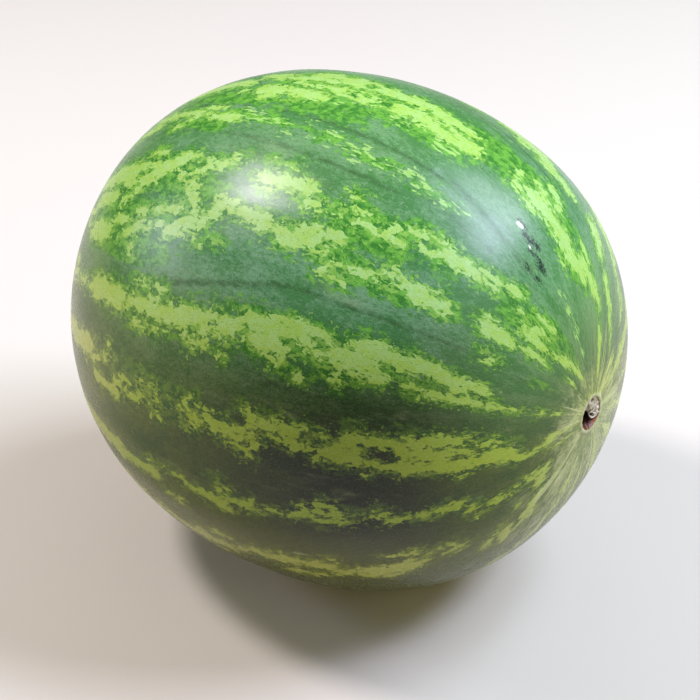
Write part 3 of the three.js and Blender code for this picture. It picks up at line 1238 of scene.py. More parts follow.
RIND_LAYERS: tuple[Layer | PaintedLowShadeAndOlive, ...] = (
    # The dark bands, mottled in large and in small.
    Layer(
        (linear("437c44"), linear("6a996e")),
        mottle=Share(Pattern(ALONG, 1.4, 5.0, 0.72, 0.4), Ramp(0.34, 0.68), ((CLOUDS, 0.5),)),
    ),
    # The thin dark lines along the bands.
    Layer((VEIN_TONE,), (Share(Mark.VEIN, Ramp(-0.7, 0.5, 0.7), ((Pattern(ALONG, 0.6, 5.0, 0.7), 1.4),)),)),
    # Fainter threads, where one noise is near its middle value, in patches.
    Layer(
        (VEIN_TONE,),
        (
            Share(THREADS, Ramp(0.478, 0.496)),
            Share(THREADS, Ramp(0.522, 0.504)),
            Share(CLOUDS, Ramp(0.46, 0.6, 0.4)),
        ),
    ),
    # Pale specks.
    Layer((linear("b9d3ae"),), (Share(Pattern(ALONG, 3.1, 2.0, 0.5), Ramp(0.71, 0.76, 0.6)),)),
    # Painted shade, with a brown cast, on the low side of the dark bands and of all beneath them; olive
    # beneath.
    PaintedLowShadeAndOlive((0.64, 0.40, 0.07, 1.0), 0.93, linear("6b6f3a")),
    # The saturated middle green beside the pale blotches, with painted shade on the low side.
    Layer(
        (linear("357a2a"), linear("65a83f")),
        (Share(Mark.GREEN, Ramp(-1.3, 1.3), ((Pattern(ROUNDER, 0.3, 3.0, 0.6, 0.5), 5.0), (LACE, 3.5))),),
        Share(Pattern(ROUNDER, 0.6, 4.0, 0.65, 0.4), Ramp(0.4, 0.6)),
        PaintedLowShadeAndOlive((0.75, 0.42, 0.20, 1.0), 0.5, linear("74782c")),
    ),
    # The soft grey green round the stalk scar, which fans out from it in bundles.
    Layer(
        (linear("7d8c54"), linear("a8ae80")),
        (Share(Mark.HAZE, Ramp(0.08, 0.95, 0.9), ((BUNDLES, 0.55), (STRANDS, 0.3))),),
        Share(BUNDLES, Ramp(0.36, 0.64), ((STRANDS, 0.4),)),
    ),
    # The faint flecks that lie by themselves in the dark bands.
    Layer(
        (linear("a2d07a"),),
        (
            Share(
                Mark.FLECK,
                Ramp(0.2, 0.6, 0.75),
                ((Pattern(Reading(Mark.GRAIN, (0.42, 1.3, 1.3)), 1.0, 1.0, 0.5), 4.0), (FRINGE, 1.2)),
            ),
        ),
    ),
    # The pale blotches: flecks round them, their yellow-green edge, and then their inside, each with painted
    # shade on the low side.
    Layer(
        (EDGE_TONE,),
        (Share(Mark.PALE, Ramp(0.0, 0.5, 0.75), ((Pattern(ROUNDER, 1.1, 1.0, 0.5, 0.5), 7.5),)),),
        low=EDGE_LOW_SHADE,
    ),
    Layer((EDGE_TONE,), (Share(Mark.PALE, Ramp(-0.2, 0.05), PALE_EDGE),), low=EDGE_LOW_SHADE),
    Layer(
        (linear("9ecb78"), linear("9ac65d")),
        (Share(Mark.PALE, Ramp(0.0, 0.25), PALE_EDGE),),
        Share(Pattern(ROUNDER, 0.5, 4.0, 0.65), Ramp(0.42, 0.62)),
        PaintedLowShadeAndOlive((0.88, 0.68, 0.17, 1.0), 0.25, linear("b0ab60")),
        RAY_TONE,
    ),
    # The straw-coloured spot where the fruit lay on the ground.
    Layer(
        (linear("c9bd72"),),
        (Share(Mark.GROUND, Ramp(-7.0, 5.0, 0.8), ((Pattern(ALONG, 0.15, 4.0, 0.6, 0.4), 8.0),)),),
    ),
    # The thin pale rays that run out from the stalk scar.
    Layer(
        (RAY_TONE,),
        (
            Share(
                Pattern(Reading(Mark.GRAIN, (0.035, 0.24, 0.24)), 1.0, 2.0, 0.5, 0.15),
                Ramp(0.67, 0.77, 0.62),
                ((Pattern(Reading(Mark.GRAIN, (0.05, 0.05, 0.05)), 1.0, 2.0, 0.5), 0.25), (Mark.RAY, 0.13)),
            ),
        ),
    ),
    # A painted warm cast, darker and less blue, that takes back blue lamp light at the stalk end, on the
    # crown and on the blossom end's shoulder.
    Layer(((0.84, 0.88, 0.36, 1.0),), (Share(Mark.WARM_CAST),), blend="MULTIPLY"),
    # The skin's cells, some darker and some lighter.
    Layer(((0.62, 0.66, 0.62, 1.0),), (Share(CELLS, Ramp(0.5, 0.32, 0.8)),), blend="MULTIPLY"),
    Layer(((0.06, 0.08, 0.05, 1.0),), (Share(CELLS, Ramp(0.52, 0.72, 0.8)),), blend="SCREEN"),
    # The stalk scar: its lip and its fibrous wall, then painted shade that darkens the hollow towards its
    # floor.
    Layer((linear("a6ab80"),), (Share(Mark.LIP, Ramp(0.5, 1.0, 0.75)),)),
    Layer(
        (linear("2b160c"), linear("8c5636")),
        (Share(Mark.HOLLOW, Ramp(0.02, 0.12)),),
        Share(Pattern(Reading(Mark.STRAND), 1.0, 3.0, 0.6), Ramp(0.42, 0.62)),
    ),
    # Painted shade, near black, deep in the hollow.
    Layer((linear("120b07"),), (Share(Mark.HOLLOW, Ramp(0.2, 0.75)),)),
    # The corky blossom scar.
    Layer((linear("8d7b56"),), (Share(Mark.CORK),)),
    # The scuffs and the chips.
    Layer(
        (linear("162620"),),
        (Share(Mark.SCUFF, Ramp(-0.5, 0.2, 0.92), ((Pattern(GRAIN, 2.4, 2.0, 0.6, 0.5), 2.2),)),),
    ),
    Layer((linear("e9eedd"),), (Share(Mark.CHIP, Ramp(-0.2, 0.15)),)),
)


@dataclass(frozen=True)
class RindFinish:
    """The waxy rind: its layers of colour, its gloss and its pores.

    Attributes:
        layers: the layers of colour, the lowest first.
        roughness: how rough the rind is.
        dullness: where it is rougher or smoother.
        dullness_swing: how much.
        worn_roughness: how much rougher the scars are.
        pores: the skin's fine relief.
        fibres: the relief of the hollow's torn fibres.
        relief_depth: how deep either relief is.
        bending: the index of refraction.
        gloss: the strength of the reflection.
    """

    layers: tuple[Layer | PaintedLowShadeAndOlive, ...] = RIND_LAYERS
    roughness: float = 0.27
    dullness: Pattern = Pattern(ALONG, 1.3, 4.0, 0.6)
    dullness_swing: float = 0.05
    worn_roughness: float = 0.6
    pores: Pattern = Pattern(ALONG, 5.0, 3.0, 0.6)
    fibres: Pattern = Pattern(Reading(Mark.GRAIN, (0.1, 0.5, 0.5)), 1.0, 5.0, 0.7)
    relief_depth: float = 0.06 * MM
    bending: float = 1.45
    gloss: float = 0.38

    def material(self) -> bpy.types.Material:
        """Lays all layers over each other, and gives the skin its gloss and relief.

        Returns:
            The rind's material.
        """
        graph = Graph("waxy striped rind")
        colour = None
        for layer in self.layers:
            colour = layer.over(graph, colour)
        hollow = graph.attribute(Mark.HOLLOW)
        worn = graph.math("MAXIMUM", hollow, graph.attribute(Mark.CORK))
        even = graph.swing(self.roughness, self.dullness, self.dullness_swing)
        roughness = graph.math("ADD", even, graph.math("MULTIPLY", worn, self.worn_roughness))
        relief = {0: hollow, 2: graph.read(self.pores), 3: graph.read(self.fibres)}
        height = graph.add("ShaderNodeMix", relief).outputs[0]
        surface = {"Base Color": colour, "Roughness": roughness}
        surface |= {"IOR": self.bending, "Specular IOR Level": self.gloss}
        return graph.finish(surface, height, self.relief_depth)


@dataclass(frozen=True)
class DryFinish:
    """A dry, matte part of the stalk.

    Attributes:
        name: the material's name.
        tones: its darker and its lighter tone.
        mottle: how far from the darker tone to the lighter it is.
        roughness: how rough it is.
        relief: its fine relief.
        relief_depth: how deep that is.
        pit: the colour of the painted shade in its pits and low on its sides, or None where it has none.
    """

    name: str
    tones: tuple[Colour, Colour]
    mottle: Share
    roughness: float
    relief: Pattern
    relief_depth: float
    pit: Colour | None = None

    def material(self) -> bpy.types.Material:
        """Mottles the two tones, and darkens the pits.

        Returns:
            The material.
        """
        graph = Graph(self.name)
        colour = graph.mix(self.mottle.of(graph), *self.tones)
        # Painted shade in the pits and low on the sides.
        if self.pit is not None:
            colour = graph.mix(graph.attribute(Mark.PIT_SHADE), colour, self.pit)
        surface = {"Base Color": colour, "Roughness": self.roughness}
        return graph.finish(surface, graph.read(self.relief), self.relief_depth)


CORK_FINISH = DryFinish(
    name="dry corky stalk",
    tones=(linear("948a70"), linear("b4b295")),
    mottle=Share(Pattern(ON_OBJECT, 900.0, 5.0, 0.65, 0.4), Ramp(0.38, 0.62)),
    roughness=0.92,
    relief=Pattern(ON_OBJECT, 1500.0, 5.0, 0.7),
    relief_depth=0.15 * MM,
    # Painted shade in the pits and low on the sides.
    pit=linear("1d150f"),
)
FIBRE_FINISH = DryFinish(
    name="dry torn fibre",
    tones=(linear("b5ae98"), linear("eeeadc")),
    mottle=Share(Pattern(ON_OBJECT, 450.0, 4.0, 0.6), Ramp(0.35, 0.6)),
    roughness=0.85,
    relief=Pattern(ON_OBJECT, 2200.0, 3.0, 0.6),
    relief_depth=0.1 * MM,
)


# ---- The fruit's pieces ------------------------------------------------------------------------------


@dataclass(frozen=True)
class SkinRelief:
    """The skin's low relief, finer than the solid's facets.

    Attributes:
        groove_depth: depth of each set of fibre grooves, halfway down the hollow's wall.
        groove_waves: how many grooves each set has round the hollow, and where it starts.
        groove_wind: how fast the grooves wind round towards the mouth.
        nick_share: how deep the lip is nicked on average, as a share of that depth.
        nick_waves: the two waves whose product gives the nicks, as for the grooves.
        sag_depth: how far the skin dips at most between its high places.
        sag_waves: how fast each wave of it turns round and along the fruit, and its phase.
        rib_depth: how deep the skin is faintly ribbed along the fruit.
        rib_waves: for each set of ribs how many there are, how far they wander, how often, and the phase.
        crease_depth: how deep the few creases are.
        crease_width: half a crease's width, in degrees.
    """

    groove_depth: float = 0.0004
    groove_waves: tuple[Span, ...] = ((23.0, 0.4), (37.0, 2.1), (58.0, 4.0))
    groove_wind: float = 120.0
    nick_share: float = 0.35
    nick_waves: tuple[Span, Span] = ((5.0, 1.0), (11.0, 0.5))
    sag_depth: float = 0.0005
    sag_waves: tuple[Triple, Triple] = ((5.0, 3.0, 0.0), (3.0, -4.0, 1.7))
    rib_depth: float = 0.0003
    rib_waves: tuple[Quad, Quad] = ((23.0, 1.2, 3.0, 0.0), (34.0, -1.0, 4.0, 1.0))
    crease_depth: float = 0.00042
    crease_width: float = 1.3

    def grooves(self, form: FruitForm, radius: np.ndarray, turn: np.ndarray) -> np.ndarray:
        """Works out how deep the torn fibres groove the hollow's wall and nick its lip.

        Args:
            form: the fruit's size and shape.
            radius: the places' distances from the axis.
            turn: their turns, in radians.

        Returns:
            One depth for each place.
        """
        inside = form.open_share(radius)
        wall = 4.0 * inside * (1.0 - inside)  # 1 halfway down the wall
        wind = self.groove_wind * radius
        strands = sum(1.0 + np.sin(count * turn + phase + wind) for count, phase in self.groove_waves)
        first, second = (np.sin(count * turn + phase) for count, phase in self.nick_waves)
        nicks = self.nick_share * form.lip_share(radius) * (1.0 + first * second)
        return self.groove_depth * (wall * strands / 2.0 + nicks)  # each set's strand goes from 0 to 2

    def sag(self, markings: Markings, polar: np.ndarray, turn: np.ndarray) -> np.ndarray:
        """Works out how far the skin dips, gently and unevenly, away from both ends.

        Args:
            markings: measures the creases.
            polar: the places' polar angles, in radians.
            turn: their turns, in radians.

        Returns:
            One depth for each place.
        """
        waves = sum(
            1.0 + np.sin(count * turn + along * polar + phase) for count, along, phase in self.sag_waves
        )
        ribs = sum(
            1.0 + np.sin(count * turn + wander * np.sin(along * polar + phase))
            for count, wander, along, phase in self.rib_waves
        )
        dips = (self.sag_depth * waves + self.rib_depth * ribs) / 4.0  # each sum goes from 0 to 4
        distance = markings.reach(np.degrees(polar), np.degrees(turn) % 360.0, CREASE_STROKES)
        return dips * np.sin(polar) ** 2 + self.crease_depth * bell(distance, self.crease_width)


@dataclass
class Rind:
    """The fruit's whole outside, as one skin.

    Attributes:
        form: the fruit's size and shape.
        relief: the skin's low relief.
        markings: the strokes on it.
        zones: where its tone changes over the fruit, with its painted shade and painted warm light.
        finish: its colours and gloss.
        first_cuts: cuts across each side of the starting cube.
        second_cuts: cuts of each square that gives.
        stalk_fineness: distances from the stalk's axis within which the skin is cut finer again.
        blossom_fineness: the same at the blossom end.
        strand_slant: how steeply the fibres in the hollow run down towards +Y.
        strand_scale: how fast their noise changes along X, along a fibre and across it, for each metre.
        hollow_rim: how far inside the lip's crest the hollow's dark ends.
    """

    form: FruitForm
    relief: SkinRelief = field(default_factory=SkinRelief)
    markings: Markings = field(default_factory=Markings)
    zones: Zones = field(default_factory=Zones)
    finish: RindFinish = field(default_factory=RindFinish)
    first_cuts: int = 28
    second_cuts: int = 3
    stalk_fineness: tuple[float, ...] = (0.027, 0.016, 0.0105)
    blossom_fineness: tuple[float, ...] = (0.012, 0.006)
    strand_slant: float = 0.46
    strand_scale: Triple = (60.0, 90.0, 1700.0)
    hollow_rim: float = 0.3 * MM

    def build(self) -> Piece:
        """Builds the skin at its size and place.

        Returns:
            The skin, with its markings as attributes.
        """
        piece = fine_cube("rind", self.first_cuts, self.second_cuts)
        even = np.tan(read_points(piece) * (math.pi / 4.0))  # keeps the squares alike on the ball
        write_points(piece, unit_rows(even))
        for side, limits in ((1.0, self.stalk_fineness), (-1.0, self.blossom_fineness)):
            for limit in limits:
                self.cut_finer(piece, side, limit)
        ball = read_points(piece)
        polar = np.arccos(np.clip(ball[:, 0], -1.0, 1.0))
        turn = np.arctan2(ball[:, 2], ball[:, 1])
        write_points(piece, self.grown(polar, turn))
        self.mark(piece, polar, turn)
        shade_smooth(piece)
        return piece

    def cut_finer(self, piece: Piece, side: float, limit: float) -> None:
        """Cuts the skin finer near one end.

        Args:
            piece: the skin, still a ball with a radius of 1.
            side: 1 for the stalk end and -1 for the blossom end.
            limit: the distance from the axis within which faces are cut.
        """
        middles = face_middles(piece)
        distance = np.hypot(middles[:, 1], middles[:, 2]) * self.form.middle_radius
        subdivide_faces(piece, (middles[:, 0] * side > 0.0) & (distance < limit))
        write_points(piece, unit_rows(read_points(piece)))

    def grown(self, polar: np.ndarray, turn: np.ndarray) -> np.ndarray:
        """Grows the fruit's surface from angles.

        Args:
            polar: polar angles, in radians.
            turn: turns round the fruit, in radians.

        Returns:
            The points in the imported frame, inside the fruit's box.
        """
        form = self.form
        radius = form.radius(polar)
        x = form.half_length * np.cos(polar) + form.relief(polar, radius)
        x = x - np.where(polar < math.pi / 2, self.relief.grooves(form, radius, turn), 0.0)
        width = radius - self.relief.sag(self.markings, polar, turn)
        points = form.grow_uneven(np.stack([x, width * np.cos(turn), width * np.sin(turn)], axis=1))
        points += np.array(form.offset())
        points[:, 2] = np.maximum(points[:, 2], 0.0)
        low, high = points.min(axis=0), points.max(axis=0)
        box_low, box_high = (np.array(corner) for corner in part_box("fruit"))
        share = np.clip((points - low) / (high - low), 0.0, 1.0)
        inner_low, inner_high = np.maximum(low, box_low), np.minimum(high, box_high)
        return inner_low + share * (inner_high - inner_low)

    def mark(self, piece: Piece, polar: np.ndarray, turn: np.ndarray) -> None:
        """Keeps the markings on the skin as attributes.

        Args:
            piece: the skin.
            polar: its vertices' polar angles, in radians.
            turn: their turns, in radians.
        """
        points = read_points(piece)
        polar_degrees, turn_degrees = np.degrees(polar), np.degrees(turn) % 360.0
        marks = self.map_marks(polar, turn, points) | self.scar_marks(polar)
        marks |= self.zones.marks(polar_degrees, turn_degrees, points[:, 2])
        marks |= self.markings.marks(polar_degrees, turn_degrees, marks[Mark.HAZE])
        for mark, values in marks.items():
            write_attribute(piece, mark, values)

    def map_marks(self, polar: np.ndarray, turn: np.ndarray, points: np.ndarray) -> dict[Mark, np.ndarray]:
        """Lays out the places that noise is read at.

        Args:
            polar: polar angles, in radians.
            turn: turns, in radians.
            points: the skin's points, one row each.

        Returns:
            The map on an even barrel, the map on one that narrows to its ends like a fan, both in degrees,
            and the place among the hollow's slanting fibres.
        """
        x, y, z = points.T
        strand = np.stack([x, y + self.strand_slant * z, z - self.strand_slant * y], axis=1)
        marks = {Mark.STRAND: strand * np.array(self.strand_scale)}
        for mark, share in ((Mark.GRAIN, 1.0), (Mark.FAN, np.sqrt(np.sin(polar)))):
            width = DEGREES_PER_RADIAN * share
            marks[mark] = np.stack([np.degrees(polar), width * np.cos(turn), width * np.sin(turn)], axis=1)
        return marks

    def scar_marks(self, polar: np.ndarray) -> dict[Mark, np.ndarray]:
        """Works out where the scars are.

        Args:
            polar: polar angles, in radians.

        Returns:
            The shares, by their marks.
        """
        form = self.form
        radius = form.radius(polar)
        stalk_half = polar < math.pi / 2
        inside = 1.0 - smoothstep(form.floor_radius, form.lip_radius - self.hollow_rim, radius)
        return {
            Mark.HOLLOW: np.where(stalk_half, inside, 0.0),
            Mark.LIP: np.where(stalk_half, form.lip_share(radius), 0.0),
            Mark.CORK: np.where(stalk_half, 0.0, form.cork_share(radius)),
        }

    def dress(self, piece: Piece) -> None:
        """Gives the skin its finish and its place in the frame.

        Args:
            piece: the skin.
        """
        piece.data.materials.append(self.finish.material())
        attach(piece, BODY)
        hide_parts("fruit")


@dataclass
class StalkRemnant:
    """What is left of the dry stalk: a corky shelf in the upper part of the hollow.

    Attributes:
        form: the fruit that it sits in.
        finish: its colours.
        cuts: cuts across each side of the starting cube.
        below_lip: how far its worn face lies under the lip's crest.
        first_angle: where its torn edge leaves the wall, in radians from +Y.
        last_angle: where the torn edge meets the wall again.
        sunk: how far it is let into the wall.
        floor_gap: how far it stands over the hollow's floor.
        wall_share: how far down the hollow's wall its sides narrow with it.
        ragged: how far each wave of its torn edge goes from its line.
        ragged_waves: how fast each wave goes along the edge, and its phase.
        bulge: how far the torn edge bows back into it.
        lumps: how high each wave of lumps on its face is.
        lump_rest: how deep the face's middle height lies.
        lump_waves: how fast each of the lumps' waves turns along Y and along Z, and its phase.
        pits: the middles of its pits across the scar, and their radii.
        pit_depth: how deep they are.
        pit_shade_strength: how strong the painted shade in them is.
        torn_depth: how deep the face is torn away at the torn edge.
        torn_fall: how sharply it falls away there.
        torn_teeth: how fast the tears follow each other along the edge.
        side_shade: how strong the painted shade low on its sides is, at the floor.
        merge: how near points are that become one.
    """

    form: FruitForm
    finish: DryFinish = CORK_FINISH
    cuts: int = 43
    below_lip: float = 0.0009
    first_angle: float = -0.35
    last_angle: float = 2.6
    sunk: float = 0.0006
    floor_gap: float = 0.00035
    wall_share: float = 0.93
    ragged: float = 0.0004
    ragged_waves: tuple[Span, ...] = ((31.0, 0.5), (53.0, 1.9), (87.0, 3.3))
    bulge: float = 0.0005
    lumps: float = 0.000075
    lump_rest: float = 0.00024
    lump_waves: tuple[Triple, ...] = (
        (1500.0, 500.0, 0.6), (-700.0, 1300.0, 2.9), (1100.0, -1900.0, 4.4),
        (2700.0, 900.0, 1.1), (-2100.0, 2300.0, 5.2), (3300.0, -400.0, 3.7),
    )
    pits: tuple[Triple, ...] = ((-0.0022, 0.0042, 0.0009), (0.0013, 0.0057, 0.0008))
    pit_depth: float = 0.0016
    pit_shade_strength: float = 1.2
    torn_depth: float = 0.0012
    torn_fall: int = 6
    torn_teeth: float = 47.0
    side_shade: float = 0.6
    merge: float = 0.01 * MM

    def top(self) -> float:
        """Returns where its worn face lies along X, before the fruit is bent."""
        return self.form.half_length + self.form.lip_height - self.below_lip

    def torn_edge(self, share: np.ndarray) -> tuple[np.ndarray, np.ndarray]:
        """Follows the torn edge across the scar.

        Args:
            share: how far along the edge, from the last angle at 0 to the first at 1.

        Returns:
            Y and Z of the edge.
        """
        corners = [(math.cos(angle), math.sin(angle)) for angle in (self.last_angle, self.first_angle)]
        start, end = np.array(corners) * self.form.mouth_radius
        wander = self.ragged * sum(np.sin(count * share + phase) for count, phase in self.ragged_waves)
        y = start[0] + (end[0] - start[0]) * share
        z = start[1] + (end[1] - start[1]) * share + wander + self.bulge * np.sin(math.pi * share)
        return y, z

    def wall_radius(self, depth: np.ndarray) -> np.ndarray:
        """Returns the hollow's radius at each share of its depth, by the inverse of a smooth step."""
        step = 0.5 - np.sin(np.arcsin(1.0 - 2.0 * (1.0 - depth)) / 3.0)
        return self.form.floor_radius + (self.form.mouth_radius - self.form.floor_radius) * step

    def pit_share(self, y: np.ndarray, z: np.ndarray) -> np.ndarray:
        """Returns how deep each place across the scar lies in a pit, from 0 to 1 in each."""
        return sum(bell(np.hypot(y - pit_y, z - pit_z), radius) for pit_y, pit_z, radius in self.pits)

    def build(self) -> Piece:
        """Builds the remnant in the hollow.

        Returns:
            The remnant.
        """
        piece = fine_cube("corky_stalk_remnant", self.cuts, 1)
        across, outward, up = ((read_points(piece)[:, axis] + 1.0) / 2.0 for axis in range(3))
        angle = self.last_angle + (self.first_angle - self.last_angle) * across
        narrowing = self.wall_radius((1.0 - up) * self.wall_share) / self.form.mouth_radius
        wall = self.form.mouth_radius + self.sunk
        torn_y, torn_z = self.torn_edge(across)
        y = (torn_y + (wall * np.cos(angle) - torn_y) * outward) * narrowing
        z = (torn_z + (wall * np.sin(angle) - torn_z) * outward) * narrowing
        pit = self.pit_share(y, z)
        waves = sum(np.sin(wide * y + high * z + phase) for wide, high, phase in self.lump_waves)
        torn = (1.0 - outward) ** self.torn_fall * (1.0 + np.sin(self.torn_teeth * across))
        drop = self.lump_rest - self.lumps * waves + self.pit_depth * pit + self.torn_depth * torn
        floor = self.form.half_length - self.form.hollow_depth + self.floor_gap
        face = up**3  # the relief is the face's, and dies away below it
        x = floor + (self.top() - floor) * up - drop * face
        points = self.form.grow_uneven(np.stack([x, y, z], axis=1)) + np.array(self.form.offset())
        write_points(piece, points)
        # Painted shade: darker in the pits of the face and low on the sides towards the floor.
        dark = np.clip(self.pit_shade_strength * pit, 0.0, 1.0) * face + self.side_shade * (1.0 - up)
        write_attribute(piece, Mark.PIT_SHADE, dark)
        self.close(piece)
        return piece

    def close(self, piece: Piece) -> None:
        """Turns all faces outwards and shades them smooth.

        Args:
            piece: the remnant.
        """
        select_only(piece)
        bpy.ops.object.mode_set(mode="EDIT")
        bpy.ops.mesh.select_all(action="SELECT")
        bpy.ops.mesh.remove_doubles(threshold=self.merge)
        bpy.ops.mesh.normals_make_consistent(inside=False)
        bpy.ops.object.mode_set(mode="OBJECT")
        shade_smooth(piece)

    def dress(self, piece: Piece) -> None:
        """Gives the remnant its finish and its place in the frame.

        Args:
            piece: the remnant.
        """
        piece.data.materials.append(self.finish.material())
        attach(piece, BODY)
        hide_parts("stalk_remnant")


@dataclass
class TornFibres:
    """Dry fibres that curl out of the remnant's torn edge.

    Attributes:
        remnant: the remnant they grow from.
        finish: their colours.
        count: how many there are.
        seed: starts the random draws.
        radius: half a fibre's usual thickness.
        thickness: the least and the most of it.
        taper: how much thinner a fibre's tip is.
        steps: points along a fibre.
        edge: the first, the last and the usual share of the torn edge that they grow from.
        root_out: how far a root stands out of the remnant's face.
        root_up: how far it stands over the torn edge.
        lean: how far a fibre leans to +Y on its way down.
        curl: the radius that it curls by.
        sweep: how far round it curls, in radians.
        tilt: how much of the curl goes back into the hollow and not sideways.
    """

    remnant: StalkRemnant
    finish: DryFinish = FIBRE_FINISH
    count: int = 40
    seed: int = 8
    radius: float = 0.00036
    thickness: Span = (0.6, 1.5)
    taper: float = 0.75
    steps: int = 12
    edge: Triple = (0.62, 0.99, 0.88)
    root_out: Span = (-0.0012, 0.0002)
    root_up: Span = (0.0, 0.0028)
    lean: Span = (-0.8, 0.1)
    curl: Span = (0.0006, 0.0024)
    sweep: Span = (1.3, 4.2)
    tilt: Span = (0.0, 0.7)

    def path(self, draw: random.Random) -> np.ndarray:
        """Draws one fibre's middle line.

        Args:
            draw: the seeded source of every random number.

        Returns:
            Points along the fibre, before the fruit is bent, one row each.
        """
        share = draw.triangular(*self.edge)
        y, z = (float(part[0]) for part in self.remnant.torn_edge(np.array([share])))
        x = self.remnant.top() + draw.uniform(*self.root_out)
        start = np.array([x, y, z + draw.uniform(*self.root_up)])
        inward = np.array([0.0, draw.uniform(*self.lean), -1.0])
        inward /= np.linalg.norm(inward)
        sideways = np.array([0.0, -inward[2], inward[1]]) * draw.choice((-1.0, 1.0))
        curl, sweep, tilt = (draw.uniform(*span) for span in (self.curl, self.sweep, self.tilt))
        bend = tilt * np.array([-1.0, 0.0, 0.0]) + (1.0 - tilt) * sideways
        bend /= np.linalg.norm(bend)
        turns = np.linspace(0.0, sweep, self.steps)[:, None]
        return start + curl * (np.sin(turns) * inward + (1.0 - np.cos(turns)) * bend)

    def build(self) -> Piece:
        """Builds all fibres as one piece.

        Returns:
            The fibres.
        """
        draw = random.Random(self.seed)
        deselect_all()
        curve = bpy.data.curves.new("torn_fibres", "CURVE")
        curve.dimensions = "3D"
        curve.bevel_depth = self.radius
        curve.bevel_resolution = 1
        curve.use_fill_caps = True
        offset = np.array(self.remnant.form.offset())
        for _ in range(self.count):
            points = self.remnant.form.grow_uneven(self.path(draw)) + offset
            thickness = draw.uniform(*self.thickness)
            spline = curve.splines.new("POLY")
            spline.points.add(len(points) - 1)
            for index, point in enumerate(points):
                share = index / (len(points) - 1)
                spline.points[index].co = (*point, 1.0)
                spline.points[index].radius = thickness * (1.0 - self.taper * share**2)
        select_only(place_in_scene("torn_fibres", curve))
        bpy.ops.object.convert(target="MESH")
        piece = bpy.context.object
        self.keep_inside(piece)
        shade_smooth(piece)
        return piece

    def keep_inside(self, piece: Piece) -> None:
        """Keeps the fibres under the lip's crest, so that the object grows no longer.

        Args:
            piece: the fibres.
        """
        points = read_points(piece)
        points[:, 0] = np.minimum(points[:, 0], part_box("fruit")[1].x)
        write_points(piece, points)

    def dress(self, piece: Piece) -> None:
        """Gives the fibres their finish and their place in the frame.

        Args:
            piece: the fibres.
        """
        piece.data.materials.append(self.finish.material())
        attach(piece, BODY)


# ---- The studio --------------------------------------------------------------------------------------


@dataclass(frozen=True)
class Lamp:
    """One soft square lamp.

    Attributes:
        name: the lamp's name.
        toward: the direction from the fruit's middle to the lamp.
        distance: how far it stands off.
        size: its side.
        power: its power, in watts.
        colour: its light's colour.
    """

    name: str
    toward: Triple
    distance: float
    size: float
    power: float
    colour: Triple

    def build(self, middle: Vector) -> Piece:
        """Adds the lamp, shining at the fruit's middle.

        Args:
            middle: the fruit's middle.

        Returns:
            The lamp.
        """
        light = bpy.data.lights.new(self.name, "AREA")
        light.size = self.size
        light.energy = self.power
        light.color = self.colour
        lamp = place_in_scene(self.name, light)
        toward = Vector(self.toward).normalized()
        lamp.matrix_world = toward.to_track_quat("Z", "Y").to_matrix().to_4x4()
        lamp.location = middle + toward * self.distance
        return lamp


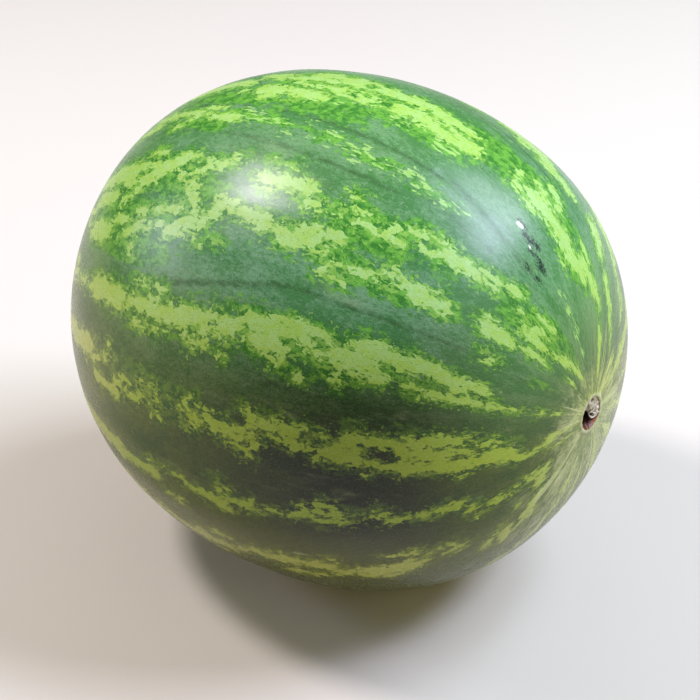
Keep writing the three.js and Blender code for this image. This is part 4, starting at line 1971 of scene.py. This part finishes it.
@dataclass(frozen=True)
class Studio:
    """The floor, the lamps, the pale surroundings and the camera.

    Attributes:
        azimuth: the camera's turn about the fruit, in degrees, 0 looking along +Y.
        elevation: its height over the horizon, in degrees.
        distance: its distance from the aim.
        focal_length: its lens's, in millimetres.
        sensor_width: the width that the lens draws on, in millimetres.
        clip_end: how far it sees.
        aim_right: how far the aim lies to the right of the fruit's middle.
        aim_up: how far the aim lies over it.
        floor_size: the floor's side.
        floor_colours: the floor's colour, and the other that it is faintly clouded with.
        floor_clouds: how strongly the clouds show, and where.
        floor_roughness: how rough the floor is.
        sky_colour: the surroundings' colour.
        sky_strength: how bright they are.
        lamps: all lamps.
    """

    azimuth: float = 35.1
    elevation: float = 31.8
    distance: float = 1.089
    focal_length: float = 118.1
    sensor_width: float = 36.0
    clip_end: float = 60.0
    aim_right: float = 0.00526
    aim_up: float = -0.01146
    floor_size: float = 24.0
    floor_colours: tuple[Colour, Colour] = (linear("cbc9b6"), linear("c9c8c0"))
    floor_clouds: Share = Share(Pattern(ON_OBJECT, 3.0, 3.0, 0.5), Ramp(0.2, 0.8, 0.04))
    floor_roughness: float = 0.95
    sky_colour: Colour = linear("f4f2ec")
    sky_strength: float = 0.12
    lamps: tuple[Lamp, ...] = (
        Lamp("window, high left", (-0.54, -0.22, 0.81), 1.5, 0.28, 17.5, (1.0, 0.88, 1.0)),
        Lamp("window, left", (-0.87, -0.36, 0.36), 1.6, 0.36, 6.4, (0.72, 0.68, 0.95)),
        Lamp("sky, right", (0.61, 0.36, 0.71), 1.7, 0.5, 27.5, (0.69, 0.69, 1.0)),
        Lamp("sky, above right", (0.31, 0.42, 0.86), 1.7, 0.55, 17.5, (0.68, 0.74, 1.0)),
        Lamp("sky, back right", (0.47, 0.64, 0.60), 1.7, 0.5, 8.0, (0.80, 0.88, 1.0)),
        Lamp("right", (0.95, -0.1, 0.35), 1.7, 1.4, 6.4, (1.0, 0.90, 0.66)),
        Lamp("ceiling", (-0.24, 0.36, 0.90), 1.8, 1.1, 2.0, (1.0, 0.95, 0.95)),
        Lamp("low left", (-0.72, -0.68, 0.1), 1.8, 1.2, 4.8, (1.0, 0.86, 0.48)),
    )

    def build_floor(self) -> None:
        """Lays the pale floor, with a faint unevenness in its material."""
        deselect_all()
        bpy.ops.mesh.primitive_plane_add(size=self.floor_size, location=(0.0, 0.0, 0.0))
        floor = bpy.context.object
        floor.name = "floor"
        graph = Graph("matte pale floor")
        colour = graph.mix(self.floor_clouds.of(graph), *self.floor_colours)
        surface = {"Base Color": colour, "Roughness": self.floor_roughness}
        floor.data.materials.append(graph.finish(surface))

    def build_sky(self) -> None:
        """Makes the pale surroundings."""
        world = bpy.data.worlds.new("pale room")
        world.use_nodes = True
        background = world.node_tree.nodes["Background"]
        background.inputs["Color"].default_value = self.sky_colour
        background.inputs["Strength"].default_value = self.sky_strength
        bpy.context.scene.world = world
        bpy.context.scene.view_settings.view_transform = "Standard"

    def build_camera(self, middle: Vector) -> None:
        """Adds the camera.

        Args:
            middle: the fruit's middle.
        """
        turn, rise = math.radians(self.azimuth), math.radians(self.elevation)
        back = Vector((math.sin(turn) * math.cos(rise), -math.cos(turn) * math.cos(rise), math.sin(rise)))
        right = Vector((math.cos(turn), math.sin(turn), 0.0))
        up = back.cross(right)
        lens = bpy.data.cameras.new("camera")
        lens.lens = self.focal_length
        lens.sensor_width = self.sensor_width
        lens.clip_end = self.clip_end
        camera = place_in_scene("camera", lens)
        place = middle + back * self.distance + right * self.aim_right + up * self.aim_up
        axes = Matrix((right, up, back)).transposed().to_4x4()
        camera.matrix_world = Matrix.Translation(place) @ axes
        bpy.context.scene.camera = camera

    def build(self, middle: Vector) -> None:
        """Builds the whole studio round the fruit.

        Args:
            middle: the fruit's middle.
        """
        self.build_floor()
        self.build_sky()
        self.build_camera(middle)
        for lamp in self.lamps:
            lamp.build(middle)


# ---- The whole ---------------------------------------------------------------------------------------


def report(piece: Piece) -> None:
    """Logs a finished piece with its size and face count.

    Args:
        piece: the finished piece.
    """
    points = read_points(piece)
    size = (points.max(axis=0) - points.min(axis=0)) / MM
    faces = len(piece.data.polygons)
    LOG.info("%s: %d faces, %.1f x %.1f x %.1f mm", piece.name, faces, *size)


def main() -> None:
    """Builds the studio and the fruit's pieces, in order."""
    logging.basicConfig(level=logging.INFO, format="%(name)s: %(message)s")
    form = FruitForm()
    Studio().build(form.offset())
    remnant = StalkRemnant(form)
    for part in (Rind(form), remnant, TornFibres(remnant)):
        piece = part.build()
        part.dress(piece)
        report(piece)
    deselect_all()


if __name__ == "__main__":
    main()
